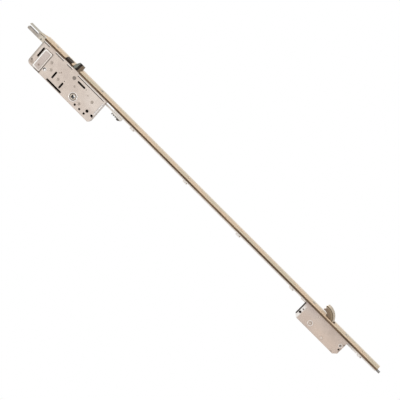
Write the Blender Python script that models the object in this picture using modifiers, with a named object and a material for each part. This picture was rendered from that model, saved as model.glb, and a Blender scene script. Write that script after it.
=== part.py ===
"""Multipoint espagnolette lock: U-rail faceplate, latch and gear case, drive rod and swing-hook case.

Metres, with +Z along the rail towards the gear case, +X out of the faceplate and the cover plates facing -Y.
The origin is on the faceplate's front face, level with the spindle.
"""

import math

import bmesh
import bpy
from mathutils import Matrix

# Clearances
SEAT_GAP = 0.0003
SLIDE_GAP = 0.0004
HOLE_GAP = 0.0003

# Faceplate rail
RAIL_WIDTH = 0.024
RAIL_DEPTH = 0.006
RAIL_WALL = 0.002
RAIL_TOP = 0.1305
RAIL_BOTTOM = -0.888
RAIL_CORNER = 0.0012
TONGUE_TOP = 0.180
TONGUE_WIDTH = 0.009
TONGUE_JOG = 0.004
TONGUE_RAMP = 0.018
SCREW_HOLE = 0.0046
COUNTERSINK = 0.0090

# Gear case
CASE_THICKNESS = 0.016
CASE_WALL = 0.0015
CASE_BACK = -0.073
CASE_TOP = 0.1305
CASE_BOTTOM = -0.0635
CASE_BACK_RADIUS = 0.009
CASE_CHAMFER = 0.0035
PANEL_RAISE = 0.0014
PRESSED_DEPTH = 0.0004
SEAM_WIDTH = 0.0012
SLOT_WIDTH = 0.0034

# Gear train
MODULE = 0.0015
PRESSURE_ANGLE = math.radians(25)
BACKLASH = 0.0003
FOLLOWER_TEETH = 16
IDLER_TEETH = 15
BACKSET = 0.055
IDLER_DIRECTION = math.radians(31.5)
QUARTER_TURN = math.radians(90)
SPINDLE = 0.0082
HUB_JOURNAL = 0.0162
GEAR_LAYER = 0.0003
GEAR_WIDTH = 0.0035

# Latch and trigger
LATCH_TIP = 0.009
LATCH_TRAVEL = 0.0095
LATCH_BOTTOM = 0.0245
LATCH_HEIGHT = 0.0190
TRIGGER_FACE = -0.0008
TRIGGER_TRAVEL = 0.005
TRIGGER_BOTTOM = 0.0504
TRIGGER_HEIGHT = 0.0176
BOLT_WIDTH = 0.0120
BOLT_REAR = -0.0080
TAIL_DIAMETER = 0.0030
SPRING_Y = -0.0032
SPRING_RADIUS = 0.0024
SPRING_WIRE = 0.0009

# Drive rod
ROD_WIDTH = 0.020
ROD_THICKNESS = 0.003
ROD_TOP = -0.090
ROD_BOTTOM = -0.896
ROD_TAB_WIDTH = 0.008
ROD_TAB_LENGTH = 0.010
LINK_BACK = -0.018
LINK_FRONT = -0.015
STRIP_WIDTH = 0.0070
FORK_TOP = 0.180
FORK_HEIGHT = 0.0212
FORK_GAP = 0.0044
FORK_NEAR = -0.0042
FORK_FAR = 0.0056
PRONG_FAR = 0.0022
COUPLER_TOP = -0.088
COUPLER_LENGTH = 0.026
SERRATION = 0.005
SERRATION_DEPTH = 0.0018
COUPLER_BACK = -0.0210
GUIDE_PLACES = (-0.146, -0.310, -0.473, -0.636, -0.840)
GUIDE_LENGTH = 0.012
GUIDE_DEPTH = 0.0042
GUIDE_WIDTH = 0.016
GUIDE_BOSS = 0.007

# Hook case
HOOK_CASE_TOP = -0.678
HOOK_CASE_BOTTOM = -0.804
HOOK_CASE_BACK = -0.0505
HOOK_CASE_CHAMFER = 0.008
HOOK_PIVOT = (-0.012, -0.722)
HOOK_TEETH = 16
HOOK_ARC_CENTRE = (-0.009, -0.722)
HOOK_ARC_RADIUS = 0.0304
HOOK_BEVEL = 0.0026
HOOK_SLOT_TOP = 0.0066
HOOK_HUB = 0.0095
HOOK_NEAR = -0.006
HOOK_FAR = 0.0026
HOOK_LAYER = 0.0029
HOOK_LAYER_WIDTH = 0.003
HOOK_PIN = 0.006
LIMB_WIDTH = 0.0050

# Posts, screws and nuts
POST_DIAMETER = 0.006
TENON_DIAMETER = 0.004
RIVET_HEAD = 0.0068
CASE_SCREW = 0.0040
NUT_SIDE = 0.0080
NUT_THICKNESS = 0.0018

# Places worked out from the sizes above, as (x, z) on the side of the lock
HALF_CASE = CASE_THICKNESS / 2
INNER = HALF_CASE - CASE_WALL
RIM = -INNER + SEAT_GAP
CASE_FRONT = -RAIL_DEPTH - SLIDE_GAP
STRIP_FRONT = CASE_FRONT - CASE_WALL - SEAT_GAP - NUT_THICKNESS - SLIDE_GAP
STRIP_BACK = STRIP_FRONT - STRIP_WIDTH
FOLLOWER_RADIUS = FOLLOWER_TEETH * MODULE / 2
IDLER_RADIUS = IDLER_TEETH * MODULE / 2
HOOK_RADIUS = HOOK_TEETH * MODULE / 2
STROKE = FOLLOWER_RADIUS * QUARTER_TURN
FOLLOWER = (-BACKSET, 0.0)
IDLER = (
    FOLLOWER[0] + (FOLLOWER_RADIUS + IDLER_RADIUS) * math.cos(IDLER_DIRECTION),
    FOLLOWER[1] + (FOLLOWER_RADIUS + IDLER_RADIUS) * math.sin(IDLER_DIRECTION),
)
RACK_LINE = IDLER[0] + IDLER_RADIUS
HOOK_RACK_LINE = HOOK_PIVOT[0] - HOOK_RADIUS
DEDENDUM = 1.25 * MODULE
ROD_FRONT = -RAIL_DEPTH - SLIDE_GAP
ROD_BACK = ROD_FRONT - ROD_THICKNESS
LATCH_TOP = LATCH_BOTTOM + LATCH_HEIGHT
TRIGGER_TOP = TRIGGER_BOTTOM + TRIGGER_HEIGHT
WEB_FRONT = BOLT_REAR - LATCH_TRAVEL - 0.0005
CASE_POSTS = ((-0.0338, 0.086), (-0.047, 0.0767), (-0.051, 0.051), (-0.057, -0.020), (-0.0328, -0.040))
HOOK_POSTS = ((-0.0345, -0.6845), (-0.037, -0.717), (-0.0425, -0.756))
CASE_SCREWS = (0.100, -0.040)
HOOK_SCREWS = (-0.692, -0.790)

# How each flat outline stands: its own x, y and normal along the lock's axes
PLANES = {
    "XZ": (math.pi / 2, 0, 0),
    "XY": (0, 0, 0),
    "YZ": (math.pi / 2, 0, math.pi / 2),
}


def remove_old_objects():
    """Empty the scene, so that the script can be run twice."""
    for obj in list(bpy.data.objects):
        bpy.data.objects.remove(obj, do_unlink=True)


def new_collection(name):
    """Return a collection of this name, linked to the scene."""
    found = bpy.data.collections.get(name) or bpy.data.collections.new(name)
    if name not in bpy.context.scene.collection.children:
        bpy.context.scene.collection.children.link(found)
    return found


remove_old_objects()
PARTS = new_collection("espagnolette_gearbox")
CUTTERS = new_collection("cutters")


def new_material(name, colour, roughness, metallic):
    """Return a Principled material with one colour."""
    material = bpy.data.materials.new(name)
    material.use_nodes = True
    shader = material.node_tree.nodes["Principled BSDF"]
    shader.inputs["Base Color"].default_value = (*colour, 1)
    shader.inputs["Roughness"].default_value = roughness
    shader.inputs["Metallic"].default_value = metallic
    return material


BRONZE = new_material("bronze_finish", (0.62, 0.50, 0.36), 0.35, 0.8)
ZINC = new_material("bright_zinc", (0.80, 0.75, 0.71), 0.3, 0.8)
DARK_STEEL = new_material("dark_steel", (0.38, 0.36, 0.33), 0.45, 0.9)
NICKEL = new_material("nickel", (0.62, 0.63, 0.58), 0.28, 0.9)
HOOK_STEEL = new_material("hook_steel", (0.50, 0.42, 0.34), 0.38, 0.9)
BLACK = new_material("black_plastic", (0.03, 0.028, 0.025), 0.5, 0)
SPRING_STEEL = new_material("spring_steel", (0.5, 0.5, 0.5), 0.3, 1)


# Outlines, as lists of points


def arc(centre, radius, start, end, count):
    """Points on an arc, angles in radians from the outline's x axis."""
    angles = [start + (end - start) * i / count for i in range(count + 1)]
    return [(centre[0] + radius * math.cos(a), centre[1] + radius * math.sin(a)) for a in angles]


def circle(centre, diameter, count=20):
    """A full circle."""
    return arc(centre, diameter / 2, 0, 2 * math.pi, count)[:-1]


def rectangle(low, high):
    """A rectangle from its low and high corners."""
    return [(low[0], low[1]), (high[0], low[1]), (high[0], high[1]), (low[0], high[1])]


def rounded_rectangle(low, high, radius, count=4):
    """A rectangle with its four corners rounded."""
    quarter = math.pi / 2
    centres = rectangle((low[0] + radius, low[1] + radius), (high[0] - radius, high[1] - radius))
    points = []
    for i, centre in enumerate(centres):
        points += arc(centre, radius, (i + 2) * quarter, (i + 3) * quarter, count)
    return points


def slot(start, end, width, count=5):
    """A round-ended slot whose ends reach start and end."""
    turn = math.atan2(end[1] - start[1], end[0] - start[0])
    reach = width / 2
    along = (math.cos(turn) * reach, math.sin(turn) * reach)
    first = (start[0] + along[0], start[1] + along[1])
    last = (end[0] - along[0], end[1] - along[1])
    half = math.pi / 2
    return arc(last, reach, turn - half, turn + half, count) + arc(
        first, reach, turn + half, turn + 3 * half, count
    )


def shifted(points, origin):
    """The points as seen from origin."""
    return [(x - origin[0], z - origin[1]) for x, z in points]


def involute(angle):
    """The involute function of a pressure angle."""
    return math.tan(angle) - angle


def tooth_half_angle(teeth, radius):
    """Half the angle that a tooth fills at a radius from the gear's centre."""
    pitch_radius = teeth * MODULE / 2
    base = pitch_radius * math.cos(PRESSURE_ANGLE)
    local = math.acos(min(1.0, base / max(radius, base)))
    middle = math.pi / (2 * teeth) - BACKLASH / (4 * pitch_radius)
    return middle + involute(PRESSURE_ANGLE) - involute(local)


def gear_outline(teeth, first_tooth, last=None, plain=None):
    """A gear with involute teeth, or a sector with teeth up to number last and a plain radius elsewhere."""
    pitch_radius = teeth * MODULE / 2
    root, tip = pitch_radius - DEDENDUM, pitch_radius + MODULE
    radii = [root] + [root + (tip - root) * share for share in (0.3, 0.55, 0.8, 1.0)]
    pitch = 2 * math.pi / teeth
    points = []
    for number in range(teeth):
        middle = first_tooth + number * pitch
        if last is not None and number > last:
            points += arc((0, 0), plain or root, middle - pitch / 3, middle + pitch / 3, 2)
            continue
        rising = [(r, middle - tooth_half_angle(teeth, r)) for r in radii]
        falling = [(r, middle + tooth_half_angle(teeth, r)) for r in reversed(radii)]
        points += [(r * math.cos(a), r * math.sin(a)) for r, a in rising + falling]
    return points


def rack_teeth(line, middle, first, last, side):
    """The toothed edge of a rack, low z to high z, with teeth towards side (-1 or 1)."""
    pitch = math.pi * MODULE
    slope = math.tan(PRESSURE_ANGLE)
    half = pitch / 4 - BACKLASH / 4
    points = []
    for number in range(first, last + 1):
        z = middle + number * pitch
        for offset, height in (
            (-half - DEDENDUM * slope, -DEDENDUM),
            (-half + MODULE * slope, MODULE),
            (half - MODULE * slope, MODULE),
            (half + DEDENDUM * slope, -DEDENDUM),
        ):
            points.append((line + side * height, z + offset))
    return points


# Solids


def solid_from_curve(curve, collection):
    """Turn a curve object into a welded mesh object at the same place."""
    collection.objects.link(curve)
    bpy.context.view_layer.update()
    graph = bpy.context.evaluated_depsgraph_get()
    mesh = bpy.data.meshes.new_from_object(curve.evaluated_get(graph))
    welded = bmesh.new()
    welded.from_mesh(mesh)
    bmesh.ops.remove_doubles(welded, verts=welded.verts, dist=0.000005)
    bmesh.ops.recalc_face_normals(welded, faces=welded.faces)
    welded.to_mesh(mesh)
    welded.free()
    name, place = curve.name, curve.matrix_world.copy()
    bpy.data.objects.remove(curve, do_unlink=True)
    solid = bpy.data.objects.new(name, mesh)
    solid.matrix_world = place
    collection.objects.link(solid)
    return solid


def flat_solid(name, outlines, low, high, plane="XZ", pivot=(0.0, 0.0), fill="BOTH", collection=None):
    """A plate of these outlines, from low to high along the plane's normal, with its origin at pivot."""
    curve = bpy.data.curves.new(name, "CURVE")
    curve.dimensions = "2D"
    curve.fill_mode = fill
    curve.extrude = (high - low) / 2
    for outline in outlines:
        points = shifted(outline, pivot)
        spline = curve.splines.new("POLY")
        spline.points.add(len(points) - 1)
        for point, (u, v) in zip(spline.points, points):
            point.co = (u, v, 0, 1)
        spline.use_cyclic_u = True
    obj = bpy.data.objects.new(name, curve)
    middle = (low + high) / 2
    obj.location = {
        "XZ": (pivot[0], middle, pivot[1]),
        "XY": (pivot[0], pivot[1], middle),
        "YZ": (middle, pivot[0], pivot[1]),
    }[plane]
    obj.rotation_euler = PLANES[plane]
    return solid_from_curve(obj, collection or PARTS)


def box(name, low, high, collection=None):
    """A box from its low and high corners."""
    mesh = bpy.data.meshes.new(name)
    shape = bmesh.new()
    size = [b - a for a, b in zip(low, high)]
    bmesh.ops.create_cube(shape, size=1, matrix=Matrix.Diagonal((*size, 1)))
    shape.to_mesh(mesh)
    shape.free()
    obj = bpy.data.objects.new(name, mesh)
    obj.location = [(a + b) / 2 for a, b in zip(low, high)]
    (collection or PARTS).objects.link(obj)
    return obj


def turned(name, profile, axis, place, steps=16, collection=None, closed=False):
    """A turned piece: profile is (radius, height) pairs, run from the top down its outer side."""
    mesh = bpy.data.meshes.new(name)
    edges = [(i, i + 1) for i in range(len(profile) - 1)]
    if closed:
        edges.append((len(profile) - 1, 0))
    mesh.from_pydata([(radius, 0, height) for radius, height in profile], edges, [])
    obj = bpy.data.objects.new(name, mesh)
    obj.location = place
    obj.rotation_euler = {"Y": (math.pi / 2, 0, 0), "X": (0, math.pi / 2, 0), "Z": (0, 0, 0)}[axis]
    screw = obj.modifiers.new("turn", "SCREW")
    screw.steps = screw.render_steps = steps
    screw.use_merge_vertices = True
    screw.merge_threshold = 0.00001
    (collection or PARTS).objects.link(obj)
    return obj


def wire(name, points, diameter):
    """A round wire through these points."""
    curve = bpy.data.curves.new(name, "CURVE")
    curve.dimensions = "3D"
    curve.bevel_depth = diameter / 2
    curve.bevel_resolution = 1
    curve.use_fill_caps = True
    spline = curve.splines.new("POLY")
    spline.points.add(len(points) - 1)
    for point, co in zip(spline.points, points):
        point.co = (*co, 1)
    return solid_from_curve(bpy.data.objects.new(name, curve), PARTS)


def hide_cutter(cutter):
    """Keep a cutter out of the render."""
    cutter.hide_render = True
    cutter.display_type = "WIRE"


def boolean(target, tool, operation):
    """Add a Boolean modifier that cuts target by tool or joins tool to it."""
    hide_cutter(tool)
    modifier = target.modifiers.new(operation.lower(), "BOOLEAN")
    modifier.operation = operation
    modifier.solver = "EXACT"
    modifier.object = tool


def cut(target, tool):
    """Cut target by tool."""
    boolean(target, tool, "DIFFERENCE")


def join(target, tool):
    """Join tool to target."""
    boolean(target, tool, "UNION")


def cutter_plate(name, outlines, low, high, plane="XZ"):
    """A cutter with one or more flat outlines."""
    return flat_solid(name, outlines, low, high, plane, collection=CUTTERS)


def cutter_box(name, low, high):
    """A box-shaped cutter."""
    return box(name, low, high, CUTTERS)


def soften(target, width, segments=1):
    """Round the sharp edges of target."""
    bevel = target.modifiers.new("soften", "BEVEL")
    bevel.width = width
    bevel.segments = segments
    bevel.limit_method = "ANGLE"
    bevel.angle_limit = math.radians(50)


def dress(target, material, smooth=False):
    """Give target its material and its shading."""
    target.data.materials.clear()
    target.data.materials.append(material)
    if smooth:
        target.data.shade_smooth()
        target.data.set_sharp_from_angle(angle=math.radians(35))
    return target


# Pieces held by the rail


def rail_outline():
    """The U section of the rail, seen along Z."""
    half, wall = RAIL_WIDTH / 2, RAIL_WALL
    corner = RAIL_CORNER + wall / 2
    quarter = math.pi / 2
    outside = arc((-corner, -half + corner), corner, -quarter, 0, 4) + arc(
        (-corner, half - corner), corner, 0, quarter, 4
    )
    legs_and_inside = [
        (-RAIL_DEPTH, half),
        (-RAIL_DEPTH, half - wall),
        (-wall, half - wall),
        (-wall, -half + wall),
        (-RAIL_DEPTH, -half + wall),
        (-RAIL_DEPTH, -half),
    ]
    return outside + legs_and_inside


def tongue_outline():
    """The joggled tongue above the rail, seen along Y."""
    low, bend = RAIL_TOP - RAIL_WALL, RAIL_TOP + 0.002
    ramp_end = bend + TONGUE_RAMP
    return [
        (-SEAT_GAP, low),
        (-SEAT_GAP, bend),
        (-TONGUE_JOG, ramp_end),
        (-TONGUE_JOG, TONGUE_TOP),
        (-TONGUE_JOG - RAIL_WALL, TONGUE_TOP),
        (-TONGUE_JOG - RAIL_WALL, ramp_end),
        (-RAIL_WALL + SEAT_GAP, bend),
        (-RAIL_WALL + SEAT_GAP, low),
    ]


def hook_slot_reach():
    """How far above and below its pivot the hook sweeps through the faceplate."""
    reach = HOOK_ARC_RADIUS + HOOK_ARC_CENTRE[0] - HOOK_PIVOT[0]
    return math.sqrt(reach**2 - (-HOOK_PIVOT[0] - RAIL_WALL) ** 2) + 2 * SLIDE_GAP


def faceplate_rail():
    """The folded rail with its latch, trigger, hook and screw openings."""
    rail = flat_solid("faceplate_rail", [rail_outline()], RAIL_BOTTOM, RAIL_TOP, "XY")
    half_tongue = TONGUE_WIDTH / 2
    tongue = flat_solid("tongue_tool", [tongue_outline()], -half_tongue, half_tongue, collection=CUTTERS)
    join(rail, tongue)
    near, far = -RAIL_WIDTH, BOLT_WIDTH / 2 + 2 * SLIDE_GAP
    for name, low, high in (
        ("latch", LATCH_BOTTOM, LATCH_TOP),
        ("trigger", TRIGGER_BOTTOM, TRIGGER_TOP),
    ):
        window = cutter_box(
            f"{name}_window_tool",
            (-RAIL_WIDTH, near, low - 2 * SLIDE_GAP),
            (RAIL_WIDTH, far, high + 2 * SLIDE_GAP),
        )
        cut(rail, window)
    hook_window = rounded_rectangle(
        (HOOK_NEAR - 2 * SLIDE_GAP, HOOK_PIVOT[1] - hook_slot_reach()),
        (-HOOK_NEAR + 2 * SLIDE_GAP, HOOK_PIVOT[1] - HOOK_SLOT_TOP),
        0.002,
    )
    cut(rail, cutter_plate("hook_window_tool", [hook_window], -RAIL_WALL * 2, RAIL_WALL, "YZ"))
    for number, z in enumerate(GUIDE_PLACES + CASE_SCREWS + HOOK_SCREWS):
        sink = (COUNTERSINK - SCREW_HOLE) / 2
        profile = [
            (0, RAIL_WALL),
            (COUNTERSINK / 2 + RAIL_WALL, RAIL_WALL),
            (COUNTERSINK / 2 - sink * 0.8, -sink * 0.8),
            (SCREW_HOLE / 2, -sink),
            (SCREW_HOLE / 2, -2 * RAIL_WALL),
            (0, -2 * RAIL_WALL),
        ]
        cut(rail, turned(f"screw_hole_tool_{number + 1}", profile, "X", (0, 0, z), 20, CUTTERS))
    return dress(rail, BRONZE)


def post(name, place, thickness=CASE_THICKNESS):
    """A riveted spacer post between the two plates of a case."""
    inner = thickness / 2 - CASE_WALL - SEAT_GAP
    face = thickness / 2 + SEAT_GAP
    head = face + 0.0007
    rim, tenon = RIVET_HEAD / 2, TENON_DIAMETER / 2
    end = [(0, head), (rim - 0.0008, head), (rim, head - 0.0003), (rim, face)]
    half = end + [(tenon, face), (tenon, inner), (POST_DIAMETER / 2, inner)]
    profile = half + [(radius, -height) for radius, height in reversed(half)]
    return dress(turned(name, profile, "Y", (place[0], 0, place[1])), ZINC, True)


def gearbox_outline(inset=0.0):
    """The gear case's side outline, with its rounded top corner."""
    back, top, bottom = CASE_BACK + inset, CASE_TOP - inset, CASE_BOTTOM + inset
    radius = CASE_BACK_RADIUS - inset
    quarter = math.pi / 2
    corner = arc((back + radius, top - radius), radius, quarter, 2 * quarter, 6)
    foot = [(back, bottom + CASE_CHAMFER), (back + CASE_CHAMFER, bottom)]
    return [(CASE_FRONT, bottom), (CASE_FRONT, top), *corner, *foot]


def hook_case_outline():
    """The hook case's side outline, with its cut back corners."""
    back, top, bottom, cut_size = HOOK_CASE_BACK, HOOK_CASE_TOP, HOOK_CASE_BOTTOM, HOOK_CASE_CHAMFER
    return [
        (CASE_FRONT, bottom),
        (CASE_FRONT, top),
        (back + cut_size, top),
        (back, top - cut_size),
        (back, bottom + cut_size),
        (back + cut_size, bottom),
    ]


def tray(name, outline):
    """A folded case: a far plate with walls all round and an open near side."""
    shell = flat_solid(name, [outline], RIM, HALF_CASE)
    inside = shell.data
    shape = bmesh.new()
    shape.from_mesh(inside)
    near = [face for face in shape.faces if face.normal.z > 0.9]
    bmesh.ops.delete(shape, geom=near, context="FACES")
    shape.to_mesh(inside)
    shape.free()
    wall = shell.modifiers.new("wall", "SOLIDIFY")
    wall.thickness = CASE_WALL
    wall.offset = -1
    wall.use_even_offset = True
    return shell


def tenon_holes(places):
    """Rivet holes for the posts' tenons."""
    return [circle(place, TENON_DIAMETER + 2 * HOLE_GAP, 16) for place in places]


def gearbox_holes():
    """Holes that go through both plates of the gear case."""
    return tenon_holes(CASE_POSTS + (IDLER,)) + [
        circle(FOLLOWER, HUB_JOURNAL + 2 * HOLE_GAP, 32),
        circle((-0.0566, 0.0885), 0.0075),
        circle((-0.0555, -0.0446), 0.006),
    ]


def gearbox_shell():
    """The gear case's far plate and walls."""
    shell = tray("gearbox_shell", gearbox_outline())
    cut(shell, cutter_plate("shell_holes_tool", gearbox_holes(), INNER - 0.001, HALF_CASE + 0.001))
    low_y, high_y = GEAR_LAYER - 2 * SLIDE_GAP, GEAR_LAYER + GEAR_WIDTH + 2 * SLIDE_GAP
    cut(
        shell,
        cutter_box(
            "strip_way_tool",
            (STRIP_BACK - SLIDE_GAP, low_y, CASE_TOP - 2 * CASE_WALL),
            (STRIP_FRONT + SLIDE_GAP, high_y, CASE_TOP + CASE_WALL),
        ),
    )
    cut(
        shell,
        cutter_box(
            "link_way_tool",
            (LINK_BACK - SLIDE_GAP, low_y, CASE_BOTTOM - CASE_WALL),
            (LINK_FRONT + SLIDE_GAP, high_y, CASE_BOTTOM + 2 * CASE_WALL),
        ),
    )
    reach = BOLT_WIDTH / 2 + SLIDE_GAP
    for name, low, high in (
        ("latch", LATCH_BOTTOM, LATCH_TOP),
        ("trigger", TRIGGER_BOTTOM, TRIGGER_TOP),
    ):
        cut(
            shell,
            cutter_box(
                f"{name}_way_tool",
                (CASE_FRONT - 2 * CASE_WALL, -reach, low - SLIDE_GAP),
                (CASE_FRONT + CASE_WALL, reach, high + SLIDE_GAP),
            ),
        )
    holes = [circle((0, z), CASE_SCREW + 2 * HOLE_GAP, 16) for z in CASE_SCREWS]
    back, front = CASE_FRONT - 2 * CASE_WALL, CASE_FRONT + CASE_WALL
    cut(shell, cutter_plate("shell_screws_tool", holes, back, front, "YZ"))
    return dress(shell, ZINC)


def gearbox_cover():
    """The gear case's near plate, with its slots, seam, raised panel and pressed rings."""
    front, back = -0.0175, -0.050
    lip = CASE_BOTTOM + 0.0042
    edge = gearbox_outline()
    notch_centre, notch_half = -0.056, 0.0028
    notch_top = CASE_BOTTOM + 0.0079
    outline = [
        *edge,
        (notch_centre - notch_half, CASE_BOTTOM),
        *arc((notch_centre, notch_top - notch_half), notch_half, math.pi, 0, 6),
        (notch_centre + notch_half, CASE_BOTTOM),
        (back, CASE_BOTTOM),
        (back, lip),
        (front, lip),
        (front, CASE_BOTTOM),
    ]
    seam_high, seam_low = -0.0112, -0.0123
    openings = [
        slot((seam_high, 0.112), (seam_high, 0.129), SEAM_WIDTH, 3),
        slot((seam_high, 0.068), (seam_high, 0.093), SEAM_WIDTH, 3),
        slot((seam_high, 0.041), (seam_high, 0.057), SEAM_WIDTH, 3),
        slot((seam_low, -0.058), (seam_low, 0.022), SEAM_WIDTH, 3),
        slot((-0.0465, 0.1196), (-0.021, 0.1196), SLOT_WIDTH),
        slot((-0.069, 0.027), (-0.069, 0.071), SLOT_WIDTH),
        slot((-0.059, 0.0636), (-0.041, 0.0636), SLOT_WIDTH),
        slot((-0.064, 0.037), (-0.049, 0.037), SLOT_WIDTH),
        slot((-0.0215, -0.008), (-0.0215, 0.0137), SLOT_WIDTH),
        circle((-0.044, 0.037), 0.002, 10),
        circle((-0.065, -0.0144), 0.004, 14),
        circle((-0.065, -0.0286), 0.004, 14),
        circle((-0.065, -0.0426), 0.004, 14),
    ]
    cover = flat_solid("gearbox_cover", [outline, *gearbox_holes(), *openings], -HALF_CASE, -INNER)
    low, high, radius = (-0.0697, 0.095), (-0.0194, 0.1155), 0.0045
    corner = arc((high[0] - radius, high[1] - radius), radius, 0, math.pi / 2, 5)
    panel = [low, (high[0], low[1]), *corner, (low[0], high[1])]
    raised = flat_solid(
        "raised_panel_tool", [panel], -HALF_CASE - PANEL_RAISE, -HALF_CASE + CASE_WALL / 3, collection=CUTTERS
    )
    soften(raised, PANEL_RAISE * 0.6)
    join(cover, raised)
    rings = [circle((-0.060, 0.1255), 0.009 * 0.55, 16), circle((-0.0218, 0.025), 0.009, 20)]
    cut(cover, cutter_plate("pressed_rings_tool", rings, -HALF_CASE - 0.001, -HALF_CASE + PRESSED_DEPTH))
    return dress(cover, ZINC)


def countersunk_screw(name, z, length):
    """A countersunk screw from the faceplate into a case."""
    radius = CASE_SCREW / 2
    head = COUNTERSINK / 2 - 2 * HOLE_GAP
    drop = head - radius
    socket = radius * 0.7
    profile = [
        (0, -0.0016),
        (socket, -0.0012),
        (socket, -0.0002),
        (head, -0.0002),
        (radius, -0.0002 - drop),
        (radius, -length + 0.0006),
        (radius - 0.0006, -length),
        (0, -length),
    ]
    return dress(turned(name, profile, "X", (0, 0, z)), DARK_STEEL, True)


def nut(name, z):
    """A square nut behind the front wall of a case."""
    front = CASE_FRONT - CASE_WALL - SEAT_GAP
    half = NUT_SIDE / 2
    outlines = [
        rectangle((-half, z - half), (half, z + half)),
        circle((0, z), CASE_SCREW + 2 * HOLE_GAP, 16),
    ]
    return dress(flat_solid(name, outlines, front - NUT_THICKNESS, front, "YZ"), DARK_STEEL)


def rod_guide(name, z):
    """A guide clip behind the drive rod, whose boss passes through the rod to the rail."""
    front = ROD_BACK - SEAT_GAP
    half_width, half_length = GUIDE_WIDTH / 2, GUIDE_LENGTH / 2
    outline = rounded_rectangle((-half_width, z - half_length), (half_width, z + half_length), 0.002, 3)
    guide = flat_solid(name, [outline], front - GUIDE_DEPTH, front, "YZ", pivot=(0, z))
    boss_length = front + 0.001 + RAIL_WALL
    profile = [
        (0, -boss_length - SEAT_GAP),
        (GUIDE_BOSS / 2, -boss_length - SEAT_GAP),
        (GUIDE_BOSS / 2, 0),
        (0, 0),
    ]
    join(guide, turned(f"{name}_boss_tool", profile, "X", (front - 0.001, 0, z), 16, CUTTERS))
    bore = [(0, 0.001), (SCREW_HOLE / 2, 0.001), (SCREW_HOLE / 2, -0.02), (0, -0.02)]
    cut(guide, turned(f"{name}_bore_tool", bore, "X", (0, 0, z), 16, CUTTERS))
    relief = GUIDE_DEPTH / 2
    for side in (-1, 1):
        edge = (z + side * half_length, z + side * (half_length - 0.0030))
        waist = cutter_box(
            f"{name}_waist_tool_{side + 2}",
            (front - relief, -ROD_WIDTH, min(edge)),
            (front + 0.001, ROD_WIDTH, max(edge)),
        )
        cut(guide, waist)
    return dress(guide, ZINC)


def spring_guide():
    """The block that holds the tail of the latch and seats both bolt springs."""
    near, far = -INNER + SEAT_GAP, SPRING_Y + SPRING_RADIUS + SPRING_WIRE
    boss = CASE_POSTS[2]
    trigger_z = (TRIGGER_BOTTOM + TRIGGER_TOP) / 2
    outline = [
        (-0.0310, 0.0280),
        (-0.0310, trigger_z - 0.0045),
        (-0.0200, trigger_z - 0.0045),
        (-0.0200, trigger_z + 0.0045),
        (-0.0340, trigger_z + 0.0045),
        (-0.0400, boss[1] + 0.006),
        (boss[0], boss[1] + 0.006),
        (boss[0] - 0.006, boss[1]),
        (boss[0], boss[1] - 0.006),
        (-0.0360, boss[1] - 0.006),
        (-0.0360, 0.0280),
    ]
    hole = circle(boss, POST_DIAMETER + 2 * HOLE_GAP, 16)
    guide = flat_solid("spring_guide", [outline, hole], near, far)
    way = [(0, 0.04), (TAIL_DIAMETER / 2 + HOLE_GAP, 0.04), (TAIL_DIAMETER / 2 + HOLE_GAP, 0.0), (0, 0.0)]
    cut(guide, turned("tail_way_tool", way, "X", (-0.05, SPRING_Y, latch_axis()), 16, CUTTERS))
    return dress(guide, DARK_STEEL)


# Latch and trigger


def latch_axis():
    """The height of the latch's tail."""
    return LATCH_BOTTOM + LATCH_HEIGHT / 2


def bolt_spring(name, seat, end, z, turns):
    """A compression spring along X between its bolt and its seat."""
    clear = SPRING_WIRE / 2 + SEAT_GAP
    length = (end - seat) - 2 * clear
    count = turns * 8
    points = []
    for i in range(count + 1):
        turn = 2 * math.pi * turns * i / count
        x = seat + clear + length * i / count
        points.append((x, SPRING_Y + SPRING_RADIUS * math.cos(turn), z + SPRING_RADIUS * math.sin(turn)))
    return dress(wire(name, points, SPRING_WIRE), SPRING_STEEL, True)


def latch_groove(inset):
    """The slanted groove across the latch's bevel, seen along Y."""
    middle = latch_axis()
    half = 0.0014 - inset
    return [
        (BOLT_REAR + 0.0015 + inset, middle + 0.0030 - half),
        (LATCH_TIP + 0.001, middle - 0.0010 - half),
        (LATCH_TIP + 0.001, middle - 0.0010 + half),
        (BOLT_REAR + 0.0015 + inset, middle + 0.0030 + half),
    ]


def latch_bolt():
    """The bevelled latch, its tail and the groove for its quiet insert."""
    half = BOLT_WIDTH / 2
    plan = [
        (BOLT_REAR, -half),
        (-0.0055, -half),
        (LATCH_TIP - 0.0004, half - 0.0030),
        (LATCH_TIP, half - 0.0022),
        (LATCH_TIP, half),
        (BOLT_REAR, half),
    ]
    latch = flat_solid("latch_bolt", [plan], LATCH_BOTTOM, LATCH_TOP, "XY")
    slope = [
        (0.001, LATCH_TOP + 0.001),
        (LATCH_TIP + 0.002, LATCH_TOP - 0.0045),
        (LATCH_TIP + 0.002, LATCH_TOP + 0.001),
    ]
    cut(latch, cutter_plate("latch_slope_tool", [slope], -2 * half, 2 * half))
    cut(latch, cutter_plate("latch_groove_tool", [latch_groove(0)], -2 * half, half - 0.0035))
    radius, end = TAIL_DIAMETER / 2, -0.041
    tail = [(0, 0.002), (radius, 0.002), (radius, end - BOLT_REAR), (0, end - BOLT_REAR)]
    join(latch, turned("latch_tail_tool", tail, "X", (BOLT_REAR, SPRING_Y, latch_axis()), 12, CUTTERS))
    return dress(latch, NICKEL)


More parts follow.
